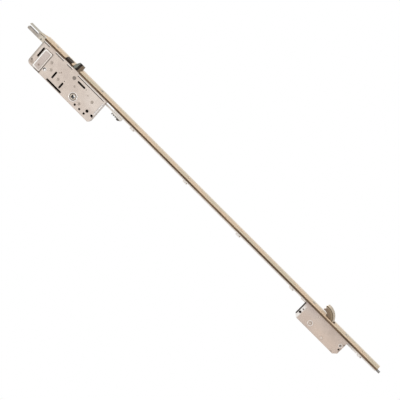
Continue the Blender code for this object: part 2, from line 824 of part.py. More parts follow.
def latch_insert():
    """The dark insert that fills the bottom of the latch's groove."""
    half = BOLT_WIDTH / 2
    insert = flat_solid("latch_insert", [latch_groove(SEAT_GAP)], -half + 0.001, half - 0.0035 - SEAT_GAP)
    bevel = [
        (-0.0075, -half - 0.001),
        (LATCH_TIP + 0.004, -half - 0.001),
        (LATCH_TIP + 0.004, half + 0.001),
        (LATCH_TIP - 0.0012, half - 0.0030),
        (-0.0040, -half + 0.0008),
    ]
    tool = cutter_plate("insert_bevel_tool", [bevel], LATCH_BOTTOM, LATCH_TOP, "XY")
    cut(insert, tool)
    return dress(insert, BLACK)


def latch_stop_clip():
    """The clip on the latch's tail that stops it behind the spring guide."""
    inner, outer, thickness = TAIL_DIAMETER / 2 + HOLE_GAP / 3, TAIL_DIAMETER, 0.0012
    profile = [(inner, 0), (outer, 0), (outer, -thickness), (inner, -thickness)]
    place = (-0.0360 - SEAT_GAP, SPRING_Y, latch_axis())
    return dress(turned("latch_stop_clip", profile, "X", place, 16, closed=True), DARK_STEEL, True)


def trigger_bolt():
    """The black trigger bolt, with a flange that stops behind the case's front wall."""
    half = BOLT_WIDTH / 2
    stop = CASE_FRONT - CASE_WALL - SEAT_GAP
    lip = 0.0014
    outline = [
        (stop, TRIGGER_BOTTOM),
        (TRIGGER_FACE, TRIGGER_BOTTOM),
        (TRIGGER_FACE, TRIGGER_TOP),
        (stop, TRIGGER_TOP),
        (stop, TRIGGER_TOP + lip),
        (stop - 0.0015, TRIGGER_TOP + lip),
        (stop - 0.0015, TRIGGER_BOTTOM - lip),
        (stop, TRIGGER_BOTTOM - lip),
    ]
    trigger = flat_solid("trigger_bolt", [outline], -half, half)
    return dress(trigger, BLACK)


# Gear train and drive


def pin(name, place, diameter, half_length, material=DARK_STEEL, barrel=None):
    """A pin along Y, with a thicker barrel between the plates where barrel is its half length."""
    if barrel is None:
        half = [(0, half_length), (diameter / 2 - 0.0003, half_length), (diameter / 2, half_length - 0.0003)]
    else:
        tenon = TENON_DIAMETER / 2
        half = [(0, half_length), (tenon, half_length), (tenon, barrel), (diameter / 2, barrel)]
    profile = half + [(radius, -height) for radius, height in reversed(half)]
    return dress(turned(name, profile, "Y", (place[0], 0, place[1])), material, True)


def mesh_offset():
    """How far along its pitch circle the idler's nearest tooth lies from the follower."""
    pitch = 2 * math.pi / IDLER_TEETH
    return ((IDLER_DIRECTION + math.pi) - pitch / 2) % pitch * IDLER_RADIUS


def follower_hub():
    """The spindle follower: a journal with a square hole and a toothed sector."""
    pitch = 2 * math.pi / FOLLOWER_TEETH
    gap = IDLER_DIRECTION + mesh_offset() / FOLLOWER_RADIUS
    first = gap - pitch / 2
    count = math.ceil(QUARTER_TURN / pitch) + 1
    journal, flange = HUB_JOURNAL / 2, FOLLOWER_RADIUS - DEDENDUM - 0.0006
    end, shoulder = HALF_CASE + 0.0006, INNER - SEAT_GAP
    face = [(0, end), (journal - 0.0004, end), (journal, end - 0.0004)]
    half = face + [(journal, shoulder), (flange, shoulder)]
    profile = half + [(radius, -height) for radius, height in reversed(half)]
    hub = turned("follower_hub", profile, "Y", (FOLLOWER[0], 0, FOLLOWER[1]), 32)
    outline = gear_outline(FOLLOWER_TEETH, first, count)
    ring = circle((0, 0), 0.014, 24)
    world = [[(x + FOLLOWER[0], z + FOLLOWER[1]) for x, z in loop] for loop in (outline, ring)]
    join(hub, cutter_plate("follower_sector_tool", world, GEAR_LAYER, GEAR_LAYER + GEAR_WIDTH))
    half_square = SPINDLE / 2
    low, high = (centre - half_square for centre in FOLLOWER), (centre + half_square for centre in FOLLOWER)
    square = rectangle(tuple(low), tuple(high))
    cut(hub, cutter_plate("spindle_tool", [square], -CASE_THICKNESS, CASE_THICKNESS))
    return dress(hub, ZINC, True)


def idler_gear():
    """The idler between the follower and the rack, with spacer collars on its bore."""
    pitch = 2 * math.pi / IDLER_TEETH
    bore = POST_DIAMETER / 2 + HOLE_GAP
    collar, reach = 0.005, INNER - SEAT_GAP
    profile = [(bore, reach), (collar, reach), (collar, -reach), (bore, -reach)]
    gear = turned("idler_gear", profile, "Y", (IDLER[0], 0, IDLER[1]), 20, closed=True)
    outline = gear_outline(IDLER_TEETH, pitch / 2)
    ring = circle((0, 0), 0.0082, 20)
    world = [[(x + IDLER[0], z + IDLER[1]) for x, z in loop] for loop in (outline, ring)]
    join(gear, cutter_plate("idler_teeth_tool", world, GEAR_LAYER, GEAR_LAYER + GEAR_WIDTH))
    return dress(gear, DARK_STEEL, True)


def fork_base():
    """The underside of the drive fork, just above the gear case."""
    return FORK_TOP - 0.0487


def drive_rack():
    """The drive plate: fork tenon, strip, web behind the latch, rack teeth and lower link."""
    tenon_inset, tenon_top = 0.0014, fork_base() + 0.0140
    teeth = rack_teeth(RACK_LINE, IDLER[1], -5, 1, -1)
    root = RACK_LINE + DEDENDUM
    web_low = LATCH_BOTTOM - STROKE - 0.0045
    link_end = COUPLER_TOP - 0.008
    outline = [
        (STRIP_BACK + tenon_inset, tenon_top),
        (STRIP_BACK + tenon_inset, fork_base() - SEAT_GAP),
        (STRIP_BACK, fork_base() - SEAT_GAP),
        (STRIP_BACK, 0.080),
        (WEB_FRONT - 0.0080, 0.070),
        (WEB_FRONT - 0.0080, IDLER[1] + IDLER_RADIUS + MODULE + 0.0022),
        (root, teeth[-1][1] + 0.0005),
        *reversed(teeth),
        (root, teeth[0][1] - 0.0005),
        (LINK_BACK, teeth[0][1] - 0.0055),
        (LINK_BACK, link_end),
        (LINK_FRONT, link_end),
        (LINK_FRONT, web_low - 0.003),
        (WEB_FRONT, web_low),
        (WEB_FRONT, TRIGGER_TOP + 0.001),
        (STRIP_FRONT, TRIGGER_TOP + 0.010),
        (STRIP_FRONT, fork_base() - SEAT_GAP),
        (STRIP_FRONT - tenon_inset, fork_base() - SEAT_GAP),
        (STRIP_FRONT - tenon_inset, tenon_top),
    ]
    hole = circle(fork_pin_place(), 0.003 + 2 * HOLE_GAP, 16)
    rack = flat_solid("drive_rack", [outline, hole], GEAR_LAYER, GEAR_LAYER + GEAR_WIDTH)
    return dress(rack, ZINC)


def fork_pin_place():
    """Where the pin holds the fork to the drive plate."""
    return ((STRIP_BACK + STRIP_FRONT) / 2, fork_base() + 0.008)


def drive_fork():
    """The forked end that takes the extension rod."""
    base, top = fork_base(), FORK_TOP
    front = -RAIL_DEPTH - SLIDE_GAP
    prong = front - FORK_GAP
    cheek = base + FORK_HEIGHT
    outline = [
        (front, base),
        (front, cheek + 0.0015),
        *arc((front - FORK_GAP / 2, cheek + 0.0015), FORK_GAP / 2, 0, -math.pi, 6)[1:],
        (prong, top - 0.002),
        (prong - 0.0015, top),
        (STRIP_BACK + 0.0015, top),
        (STRIP_BACK, top - 0.0015),
        (STRIP_BACK, base),
    ]
    hole = circle(fork_pin_place(), 0.003 + 2 * HOLE_GAP, 16)
    fork = flat_solid("drive_fork", [outline, hole], FORK_NEAR, FORK_FAR)
    inset = 0.0014 - HOLE_GAP
    pocket = cutter_box(
        "fork_pocket_tool",
        (STRIP_BACK + inset, GEAR_LAYER - HOLE_GAP, base - 0.001),
        (STRIP_FRONT - inset, GEAR_LAYER + GEAR_WIDTH + HOLE_GAP, base + 0.0140 + HOLE_GAP),
    )
    cut(fork, pocket)
    step = cutter_box(
        "fork_step_tool",
        (STRIP_BACK - 0.002, PRONG_FAR, cheek - 0.0020),
        (front + 0.002, FORK_FAR + 0.002, top + 0.002),
    )
    cut(fork, step)
    return dress(fork, ZINC)


def fork_pin():
    """The pin that holds the fork to the drive plate."""
    radius, near, far = 0.0015, -FORK_NEAR, -FORK_FAR
    profile = [
        (0, near),
        (radius - 0.0003, near),
        (radius, near - 0.0003),
        (radius, far + 0.0003),
        (radius - 0.0003, far),
        (0, far),
    ]
    x, z = fork_pin_place()
    return dress(turned("fork_pin", profile, "Y", (x, 0, z)), DARK_STEEL, True)


def coupler_span():
    """The rod coupler's low and high ends."""
    return COUPLER_TOP - COUPLER_LENGTH, COUPLER_TOP


def coupler_teeth(shift):
    """The zigzag where the coupler meets the rod's serrated strip, moved along X by shift."""
    low, high = coupler_span()
    middle = -0.0118 + shift
    count = round(COUPLER_LENGTH / SERRATION)
    step = (high - low) / count
    points = [(middle, low)]
    for i in range(count):
        z = low + i * step
        points += [(middle - SERRATION_DEPTH, z + step * 0.5), (middle, z + step)]
    return points


def rod_coupler():
    """The serrated block on the drive plate's link."""
    low, high = coupler_span()
    back = COUPLER_BACK
    count = round(COUPLER_LENGTH / SERRATION)
    step = (high - low) / count
    rear = []
    for i in range(count):
        z = high - i * step
        rear += [(back, z - step * 0.15), (back, z - step * 0.45), (back + SERRATION_DEPTH, z - step * 0.6)]
        rear += [(back + SERRATION_DEPTH, z - step * 0.95)]
    outline = [*coupler_teeth(-SEAT_GAP), (back + 0.0015, high), *rear, (back + 0.0015, low)]
    coupler = flat_solid("rod_coupler", [outline], -0.006, 0.006)
    pocket = cutter_box(
        "coupler_pocket_tool",
        (LINK_BACK - HOLE_GAP, GEAR_LAYER - HOLE_GAP, COUPLER_TOP - 0.008 - HOLE_GAP),
        (LINK_FRONT + HOLE_GAP, GEAR_LAYER + GEAR_WIDTH + HOLE_GAP, high + 0.001),
    )
    cut(coupler, pocket)
    bore = [(0, 0.001), (0.0023, 0.001), (0.0023, -0.030), (0, -0.030)]
    cut(coupler, turned("coupler_bore_tool", bore, "X", (0, 0, coupler_screw_z()), 16, CUTTERS))
    return dress(coupler, DARK_STEEL)


def coupler_screw_z():
    """The height of the coupler's screw."""
    return coupler_span()[0] + 0.008


def coupler_rack():
    """The serrated strip on the rod that the coupler meets."""
    front = ROD_BACK - SEAT_GAP
    low, high = coupler_span()
    outline = [(front, low), (front, high), *reversed(coupler_teeth(0))]
    strip = flat_solid("coupler_rack", [outline], -0.006, 0.006)
    bore = [(0, 0.001), (0.0023, 0.001), (0.0023, -0.030), (0, -0.030)]
    cut(strip, turned("strip_bore_tool", bore, "X", (0, 0, coupler_screw_z()), 16, CUTTERS))
    return dress(strip, DARK_STEEL)


def coupler_screw():
    """The screw that clamps the coupler to the rod."""
    head_seat = COUPLER_BACK - SEAT_GAP
    reach = ROD_FRONT - 0.0002 - head_seat
    shank = [(0, reach), (0.0017, reach), (0.002, reach - 0.0004), (0.002, 0)]
    profile = shank + [(0.0036, 0), (0.0036, -0.0018), (0.003, -0.0024), (0, -0.0024)]
    return dress(turned("coupler_screw", profile, "X", (head_seat, 0, coupler_screw_z())), DARK_STEEL, True)


def guide_slots(places):
    """Slots in the drive rod that pass the guides' bosses as the rod slides up."""
    reach = GUIDE_BOSS / 2 + SLIDE_GAP
    return [slot((0, z - STROKE - reach), (0, z + reach), 2 * reach) for z in places]


def tab_hole(z):
    """The hole in the rod for a tab of the hook rack, whose middle is at z."""
    half = 0.0035 + HOLE_GAP
    return rectangle((HOOK_LAYER - HOLE_GAP, z - half), (HOOK_LAYER + HOOK_LAYER_WIDTH + HOLE_GAP, z + half))


UPPER_TAB = HOOK_CASE_TOP + 0.0090
LOWER_TAB = HOOK_CASE_BOTTOM - STROKE - 0.0060
UPPER_ROD_END = HOOK_CASE_TOP + 0.0020
LOWER_ROD_TOP = HOOK_CASE_BOTTOM - STROKE - 0.0010


def drive_rod_upper():
    """The flat rod between the coupler and the hook case."""
    half = ROD_WIDTH / 2
    outlines = [
        rectangle((-half, UPPER_ROD_END), (half, ROD_TOP)),
        *guide_slots(GUIDE_PLACES[:4]),
        tab_hole(UPPER_TAB),
        circle((0, coupler_screw_z()), 0.0046, 16),
    ]
    return dress(flat_solid("drive_rod_upper", outlines, ROD_BACK, ROD_FRONT, "YZ"), ZINC)


def drive_rod_lower():
    """The flat rod below the hook case."""
    half = ROD_WIDTH / 2
    tab, shoulder = ROD_TAB_WIDTH / 2, ROD_BOTTOM + ROD_TAB_LENGTH
    foot = [(tab, shoulder), (tab, ROD_BOTTOM), (-tab, ROD_BOTTOM), (-tab, shoulder)]
    outlines = [
        [(-half, shoulder), (-half, LOWER_ROD_TOP), (half, LOWER_ROD_TOP), (half, shoulder), *foot],
        *guide_slots(GUIDE_PLACES[4:]),
        tab_hole(LOWER_TAB),
    ]
    return dress(flat_solid("drive_rod_lower", outlines, ROD_BACK, ROD_FRONT, "YZ"), ZINC)


# Hook case


def hook_case_holes():
    """Holes that go through both plates of the hook case."""
    return tenon_holes(HOOK_POSTS + (HOOK_PIVOT,)) + [
        circle((HOOK_CASE_BACK + 0.0168, HOOK_CASE_BOTTOM + 0.0040), 0.0036, 12),
        circle((HOOK_CASE_BACK + 0.0257, HOOK_CASE_BOTTOM + 0.0070), 0.006, 16),
    ]


def hook_case_shell():
    """The hook case's far plate and walls."""
    shell = tray("hook_case_shell", hook_case_outline())
    cut(shell, cutter_plate("hook_shell_holes_tool", hook_case_holes(), INNER - 0.001, HALF_CASE + 0.001))
    low_y, high_y = HOOK_LAYER - SLIDE_GAP, HOOK_LAYER + HOOK_LAYER_WIDTH + SLIDE_GAP
    for name, z in (("upper", HOOK_CASE_TOP), ("lower", HOOK_CASE_BOTTOM)):
        way = cutter_box(
            f"{name}_tail_way_tool",
            (tail_back() - SLIDE_GAP, low_y, z - 2 * CASE_WALL),
            (tail_front() + SLIDE_GAP, high_y, z + 2 * CASE_WALL),
        )
        cut(shell, way)
    mouth = cutter_box(
        "hook_mouth_tool",
        (CASE_FRONT - 2 * CASE_WALL, -INNER + SLIDE_GAP, HOOK_PIVOT[1] - 0.0345),
        (CASE_FRONT + CASE_WALL, INNER - SLIDE_GAP, HOOK_PIVOT[1] + 0.0110),
    )
    cut(shell, mouth)
    holes = [circle((0, z), CASE_SCREW + 2 * HOLE_GAP, 16) for z in HOOK_SCREWS]
    back, front = CASE_FRONT - 2 * CASE_WALL, CASE_FRONT + CASE_WALL
    cut(shell, cutter_plate("hook_screws_tool", holes, back, front, "YZ"))
    return dress(shell, ZINC)


def hook_case_cover():
    """The hook case's near plate."""
    seam = HOOK_CASE_TOP - 0.0026
    openings = [
        slot((HOOK_CASE_BACK + HOOK_CASE_CHAMFER, seam), (CASE_FRONT - 0.0036, seam), SEAM_WIDTH, 3),
        circle((HOOK_CASE_BACK + 0.0251, HOOK_CASE_TOP - 0.0077), 0.0036, 14),
    ]
    outlines = [hook_case_outline(), *hook_case_holes(), *openings]
    cover = flat_solid("hook_case_cover", outlines, -HALF_CASE, -INNER)
    return dress(cover, ZINC)


def tail_front():
    """The front edge of the hook rack's tails."""
    return CASE_FRONT - CASE_WALL - NUT_THICKNESS - 0.0015


def tail_back():
    """The back edge of the hook rack's tails."""
    return tail_front() - 0.005


def hook_rack():
    """The drive plate in the hook case: tails, arms and a toothed limb behind the hook's pivot."""
    pivot_z = HOOK_PIVOT[1]
    teeth = rack_teeth(HOOK_RACK_LINE, pivot_z, -5, 1, 1)
    root = HOOK_RACK_LINE - DEDENDUM
    limb_back = root - LIMB_WIDTH
    front, back = tail_front(), tail_back()
    arm_top = HOOK_CASE_TOP - CASE_WALL - STROKE - 0.0008
    arm_low = arm_top - 0.006
    foot_top = pivot_z - HOOK_ARC_RADIUS - 0.0035 - STROKE - 0.0012
    foot_low = foot_top - 0.006
    tab_front = ROD_FRONT - 0.0002
    outline = [
        (front, UPPER_TAB - 0.0035),
        (tab_front, UPPER_TAB - 0.0035),
        (tab_front, UPPER_TAB + 0.0035),
        (back, UPPER_TAB + 0.0035),
        (back, arm_top),
        (limb_back, arm_top),
        (limb_back, foot_low),
        (back, foot_low),
        (back, LOWER_TAB - 0.0035),
        (tab_front, LOWER_TAB - 0.0035),
        (tab_front, LOWER_TAB + 0.0035),
        (front, LOWER_TAB + 0.0035),
        (front, foot_top),
        (root, foot_top),
        *teeth,
        (root, arm_low),
        (front, arm_low),
    ]
    return dress(flat_solid("hook_rack", [outline], HOOK_LAYER, HOOK_LAYER + HOOK_LAYER_WIDTH), ZINC)


def hook_outline():
    """The thrown hook, seen along Y, with its two points up."""
    outer = arc(HOOK_ARC_CENTRE, HOOK_ARC_RADIUS, math.radians(6), math.radians(-72), 14)
    pivot_x, pivot_z = HOOK_PIVOT
    hub = arc(HOOK_PIVOT, HOOK_HUB, math.radians(-115), math.radians(-382), 16)
    mouth = [
        (-0.0026, pivot_z - 0.0064),
        (-0.0012, pivot_z - 0.0088),
        (0.0010, pivot_z - 0.0100),
        (0.0032, pivot_z - 0.0096),
        (0.0050, pivot_z - 0.0070),
        (0.0063, pivot_z - 0.0030),
    ]
    points = [
        (0.0068, pivot_z + 0.0012),
        (0.0065, pivot_z + 0.0036),
        (0.0076, pivot_z + 0.0058),
        (0.0110, pivot_z + 0.0036),
        (0.0136, pivot_z + 0.0014),
        (0.0146, pivot_z + 0.0062),
        (0.0178, pivot_z + 0.0054),
    ]
    return [*outer, (pivot_x + 0.0045, pivot_z - 0.0205), *hub, *mouth, *points]


def hook_bolt():
    """The swing hook with the toothed sector on its hub."""
    hook = flat_solid("hook_bolt", [hook_outline()], HOOK_NEAR, HOOK_FAR, pivot=HOOK_PIVOT)
    pitch = 2 * math.pi / HOOK_TEETH
    first = math.pi - pitch / 2
    count = math.ceil(QUARTER_TURN / pitch) + 1
    teeth = gear_outline(HOOK_TEETH, first, count, HOOK_HUB)
    outline = [(x + HOOK_PIVOT[0], z + HOOK_PIVOT[1]) for x, z in teeth]
    sector = cutter_plate("hook_sector_tool", [outline], HOOK_FAR - 0.001, HOOK_LAYER + HOOK_LAYER_WIDTH)
    join(hook, sector)
    over, face, rim = 0.001, -HOOK_NEAR, HOOK_ARC_RADIUS
    inside, low = rim - HOOK_BEVEL - over, face - HOOK_BEVEL - over
    slope = [(inside, face + over), (rim + over, face + over), (rim + over, low)]
    place = (HOOK_ARC_CENTRE[0], 0, HOOK_ARC_CENTRE[1])
    cut(hook, turned("hook_bevel_tool", slope, "Y", place, 72, CUTTERS, closed=True))
    bore = circle(HOOK_PIVOT, HOOK_PIN + 2 * HOLE_GAP, 20)
    cut(hook, cutter_plate("hook_bore_tool", [bore], -CASE_THICKNESS, CASE_THICKNESS))
    return dress(hook, HOOK_STEEL)


def build():
    """Make every piece."""
    faceplate_rail()
    gearbox_shell()
    gearbox_cover()
    for number, place in enumerate(CASE_POSTS):
        post(f"case_post_{number + 1}", place)
    flush = HALF_CASE - 0.0001
    pin("idler_pin", IDLER, POST_DIAMETER, flush, barrel=INNER - SEAT_GAP)
    follower_hub()
    idler_gear()
    drive_rack()
    drive_fork()
    fork_pin()
    latch_bolt()
    latch_insert()
    latch_stop_clip()
    bolt_spring("latch_spring", -0.0310, BOLT_REAR, latch_axis(), 7)
    trigger_bolt()
    trigger_back = CASE_FRONT - CASE_WALL - SEAT_GAP - 0.0015
    bolt_spring("trigger_spring", -0.0200, trigger_back, (TRIGGER_BOTTOM + TRIGGER_TOP) / 2, 4)
    spring_guide()
    for number, z in enumerate(CASE_SCREWS):
        countersunk_screw(f"gearbox_screw_{number + 1}", z, -STRIP_FRONT - 0.0003)
        nut(f"gearbox_nut_{number + 1}", z)
    rod_coupler()
    coupler_rack()
    coupler_screw()
    drive_rod_upper()
    drive_rod_lower()
    for number, z in enumerate(GUIDE_PLACES):
        rod_guide(f"rod_guide_{number + 1}", z)
    hook_case_shell()
    hook_case_cover()
    for number, place in enumerate(HOOK_POSTS):
        post(f"hook_case_post_{number + 1}", place)
    pin("hook_pin", HOOK_PIVOT, HOOK_PIN, flush, barrel=INNER - SEAT_GAP)
    hook_bolt()
    hook_rack()
    for number, z in enumerate(HOOK_SCREWS):
        countersunk_screw(f"hook_case_screw_{number + 1}", z, 0.0112)
        nut(f"hook_case_nut_{number + 1}", z)
    for tool in CUTTERS.objects:
        hide_cutter(tool)


build()
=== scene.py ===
"""Studio scene of a multipoint espagnolette lock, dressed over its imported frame.

Every length is in metres, in the frame's own axes: +Z along the rail, +X out of the faceplate and
-Y out of the covers.
"""

from __future__ import annotations

import logging
import math
from dataclasses import dataclass
from enum import Enum
from typing import Any, Sequence

import bpy
import numpy as np
from mathutils import Matrix


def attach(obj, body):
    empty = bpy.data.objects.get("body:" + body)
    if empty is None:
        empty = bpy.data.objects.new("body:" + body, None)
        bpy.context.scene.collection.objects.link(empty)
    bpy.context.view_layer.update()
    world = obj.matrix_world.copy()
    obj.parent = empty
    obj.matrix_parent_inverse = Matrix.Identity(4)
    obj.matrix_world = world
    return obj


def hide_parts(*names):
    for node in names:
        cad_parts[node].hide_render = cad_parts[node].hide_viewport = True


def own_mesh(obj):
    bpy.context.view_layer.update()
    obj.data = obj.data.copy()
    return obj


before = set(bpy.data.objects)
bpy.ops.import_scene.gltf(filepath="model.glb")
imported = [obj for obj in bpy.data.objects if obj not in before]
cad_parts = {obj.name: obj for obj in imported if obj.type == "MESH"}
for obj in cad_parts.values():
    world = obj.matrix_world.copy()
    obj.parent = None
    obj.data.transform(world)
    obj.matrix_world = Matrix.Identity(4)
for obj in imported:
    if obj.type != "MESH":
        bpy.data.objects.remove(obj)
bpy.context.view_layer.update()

LOG = logging.getLogger("espagnolette")
MM = 0.001
CASE_SIDE = 8.0 * MM
Colour = tuple[float, float, float]
Vector = tuple[float, float, float]
Point = tuple[float, float]
Range = tuple[float, float]


def mm(*values: float) -> tuple[float, ...]:
    """Millimetres as metres."""
    return tuple(value * MM for value in values)


# Shader tools


class Value:
    """A number on its way through a node tree, with the usual signs of arithmetic."""

    def __init__(self, graph: "Graph", socket: bpy.types.NodeSocket) -> None:
        """Keep the socket and the node tree that it belongs to."""
        self.graph = graph
        self.socket = socket

    def _math(self, operation: str, first: Any, second: Any = 0.0) -> "Value":
        """Return operation on two values as a new value."""
        node = self.graph.node("ShaderNodeMath", {"operation": operation}, {0: first, 1: second})
        return Value(self.graph, node.outputs[0])

    def __add__(self, other: Any) -> "Value":
        """Sum."""
        return self._math("ADD", self, other)

    def __sub__(self, other: Any) -> "Value":
        """Difference."""
        return self._math("SUBTRACT", self, other)

    def __rsub__(self, other: Any) -> "Value":
        """Difference, reflected."""
        return self._math("SUBTRACT", other, self)

    def __mul__(self, other: Any) -> "Value":
        """Product."""
        return self._math("MULTIPLY", self, other)

    __radd__ = __add__
    __rmul__ = __mul__

    def size(self) -> "Value":
        """The value without its sign."""
        return self._math("ABSOLUTE", self)

    def least(self, other: Any) -> "Value":
        """The lesser of two values."""
        return self._math("MINIMUM", self, other)

    def most(self, other: Any) -> "Value":
        """The greater of two values."""
        return self._math("MAXIMUM", self, other)

    def rise(self, low: float, high: float) -> "Value":
        """Grow from 0 at low to 1 at high, and stay there; high is less than low for a fall."""
        inputs = {"Value": self, "From Min": low, "From Max": high}
        node = self.graph.node("ShaderNodeMapRange", {"clamp": True}, inputs)
        return Value(self.graph, node.outputs["Result"])

    def band(self, low: float, high: float, soft: float) -> "Value":
        """1 between low and high, falling to 0 over soft on both sides."""
        return self.rise(low - soft, low) * self.rise(high + soft, high)


class Graph:
    """A node tree under construction."""

    def __init__(self, tree: bpy.types.NodeTree) -> None:
        """Keep the tree."""
        self.tree = tree

    def node(self, kind: str, settings: dict[str, Any], inputs: dict[Any, Any]) -> bpy.types.Node:
        """Add a node.

        Args:
            kind: the node's type.
            settings: its properties, set first.
            inputs: a value or a link for each of its sockets.

        Returns:
            The new node.
        """
        node = self.tree.nodes.new(kind)
        for key, value in settings.items():
            setattr(node, key, value)
        for key, value in inputs.items():
            self.feed(node.inputs[key], value)
        return node

    def feed(self, socket: bpy.types.NodeSocket, value: Any) -> None:
        """Link a value or another socket to socket, or set a constant on it."""
        if isinstance(value, Value):
            self.tree.links.new(value.socket, socket)
        elif isinstance(value, bpy.types.NodeSocket):
            self.tree.links.new(value, socket)
        elif isinstance(value, tuple) and len(value) == 3 and socket.type == "RGBA":
            socket.default_value = (*value, 1)
        else:
            socket.default_value = value

    def ray(self, kind: str) -> Value:
        """1 for rays of one kind, such as Camera, and 0 for others."""
        return Value(self, self.node("ShaderNodeLightPath", {}, {}).outputs[f"Is {kind} Ray"])


class Shader(Graph):
    """A material under construction."""

    def __init__(self, name: str) -> None:
        """Start a material with one Principled shader."""
        self.material = bpy.data.materials.new(name)
        self.material.use_nodes = True
        super().__init__(self.material.node_tree)
        self.surface = self.tree.nodes["Principled BSDF"]

    def _three(self, output: str) -> tuple[Value, Value, Value]:
        """The three numbers of a texture coordinate."""
        coordinate = self.node("ShaderNodeTexCoord", {}, {}).outputs[output]
        parts = self.node("ShaderNodeSeparateXYZ", {}, {0: coordinate}).outputs
        return Value(self, parts[0]), Value(self, parts[1]), Value(self, parts[2])

    def place(self) -> tuple[Value, Value, Value]:
        """Where the point lies, in metres."""
        return self._three("Object")

    def facing(self) -> tuple[Value, Value, Value]:
        """Which way the surface faces, along the object's own axes."""
        return self._three("Normal")

    def disc(self, centre: Point, radius: float, soft: float) -> Value:
        """1 within radius of the axis along Y at centre (x, z), falling to 0 over soft; squares compared."""
        x, _, z = self.place()
        across, up = x - centre[0], z - centre[1]
        return (across * across + up * up).rise((radius + soft) ** 2, radius**2)

    def noise(self, scale: float, stretch: Vector = (1, 1, 1), detail: float = 3) -> Value:
        """A cloudy pattern.

        Args:
            scale: clouds per metre.
            stretch: how many times finer it is along each axis.
            detail: how many finer layers lie over it.

        Returns:
            A value around 0.5.
        """
        coordinate = self.node("ShaderNodeTexCoord", {}, {}).outputs["Object"]
        spread = self.node("ShaderNodeMapping", {}, {"Vector": coordinate, "Scale": stretch})
        inputs = {"Vector": spread.outputs[0], "Scale": scale, "Detail": detail}
        return Value(self, self.node("ShaderNodeTexNoise", {}, inputs).outputs[0])

    def mix(self, share: Any, first: Any, second: Any) -> bpy.types.NodeSocket:
        """Blend two colours: first where share is 0, second where it is 1."""
        inputs = {"Factor": share, 6: first, 7: second}
        return self.node("ShaderNodeMix", {"data_type": "RGBA"}, inputs).outputs[2]

    def finish(
        self, colour: Any, roughness: Any, metallic: float, height: Value, depth: float
    ) -> bpy.types.Material:
        """Close the material.

        Args:
            colour: a colour or a colour's socket.
            roughness: a number or a value.
            metallic: how much of it is bare metal.
            height: the relief, from 0 to 1.
            depth: how deep the relief is, in metres.

        Returns:
            The finished material.
        """
        relief = {"Height": height, "Distance": depth, "Strength": 1.0}
        bump = self.node("ShaderNodeBump", {}, relief).outputs[0]
        inputs = {"Base Color": colour, "Roughness": roughness, "Metallic": metallic, "Normal": bump}
        for key, value in inputs.items():
            self.feed(self.surface.inputs[key], value)
        return self.material


# Finishes


class Grain(Enum):
    """Which way a metal's rolling or grinding lines run."""

    ALONG = (60.0, 60.0, 1.0)
    ACROSS = (1.0, 60.0, 60.0)
    NONE = (1.0, 1.0, 1.0)


@dataclass(frozen=True)
class Clouds:
    """A noise with its soft limits: 0 where it is under low, 1 where it is over high."""

    scale: float
    low: float
    high: float
    stretch: Vector = (1, 1, 1)
    detail: float = 3

    def over(self, shader: Shader) -> Value:
        """The clouds as a value in a material."""
        return shader.noise(self.scale, self.stretch, self.detail).rise(self.low, self.high)


@dataclass(frozen=True)
class MetalFinish:
    """Sheet metal or steel with rolling lines, cloudy plating and rubbed spots."""

    name: str
    colour: Colour
    cloud: Colour
    roughness: float = 0.34
    metallic: float = 0.55
    grain: Grain = Grain.ALONG
    grain_depth: float = 0.02 * MM
    grain_scale: float = 30.0
    grain_roughness: float = 0.22
    clouds: float = 60.0
    speck_fineness: float = 18.0
    speck_share: float = 0.3
    specular: float = 0.5

    def colours(self, shader: Shader) -> Any:
        """The plating's colour, with clouds from a slow noise and specks from a fine one."""
        slow = Clouds(self.clouds, 0.38, 0.68).over(shader)
        fine = Clouds(self.clouds * self.speck_fineness, 0.6, 0.74).over(shader)
        share = slow * (1 - self.speck_share) + fine * self.speck_share
        return shader.mix(share, self.colour, self.cloud)

    def material(self) -> bpy.types.Material:
        """Build the material."""
        shader = Shader(self.name)
        shader.surface.inputs["Specular IOR Level"].default_value = self.specular
        lines = shader.noise(self.grain_scale, self.grain.value, 4)
        roughness = self.roughness + (lines - 0.5) * self.grain_roughness
        return shader.finish(self.colours(shader), roughness, self.metallic, lines, self.grain_depth)


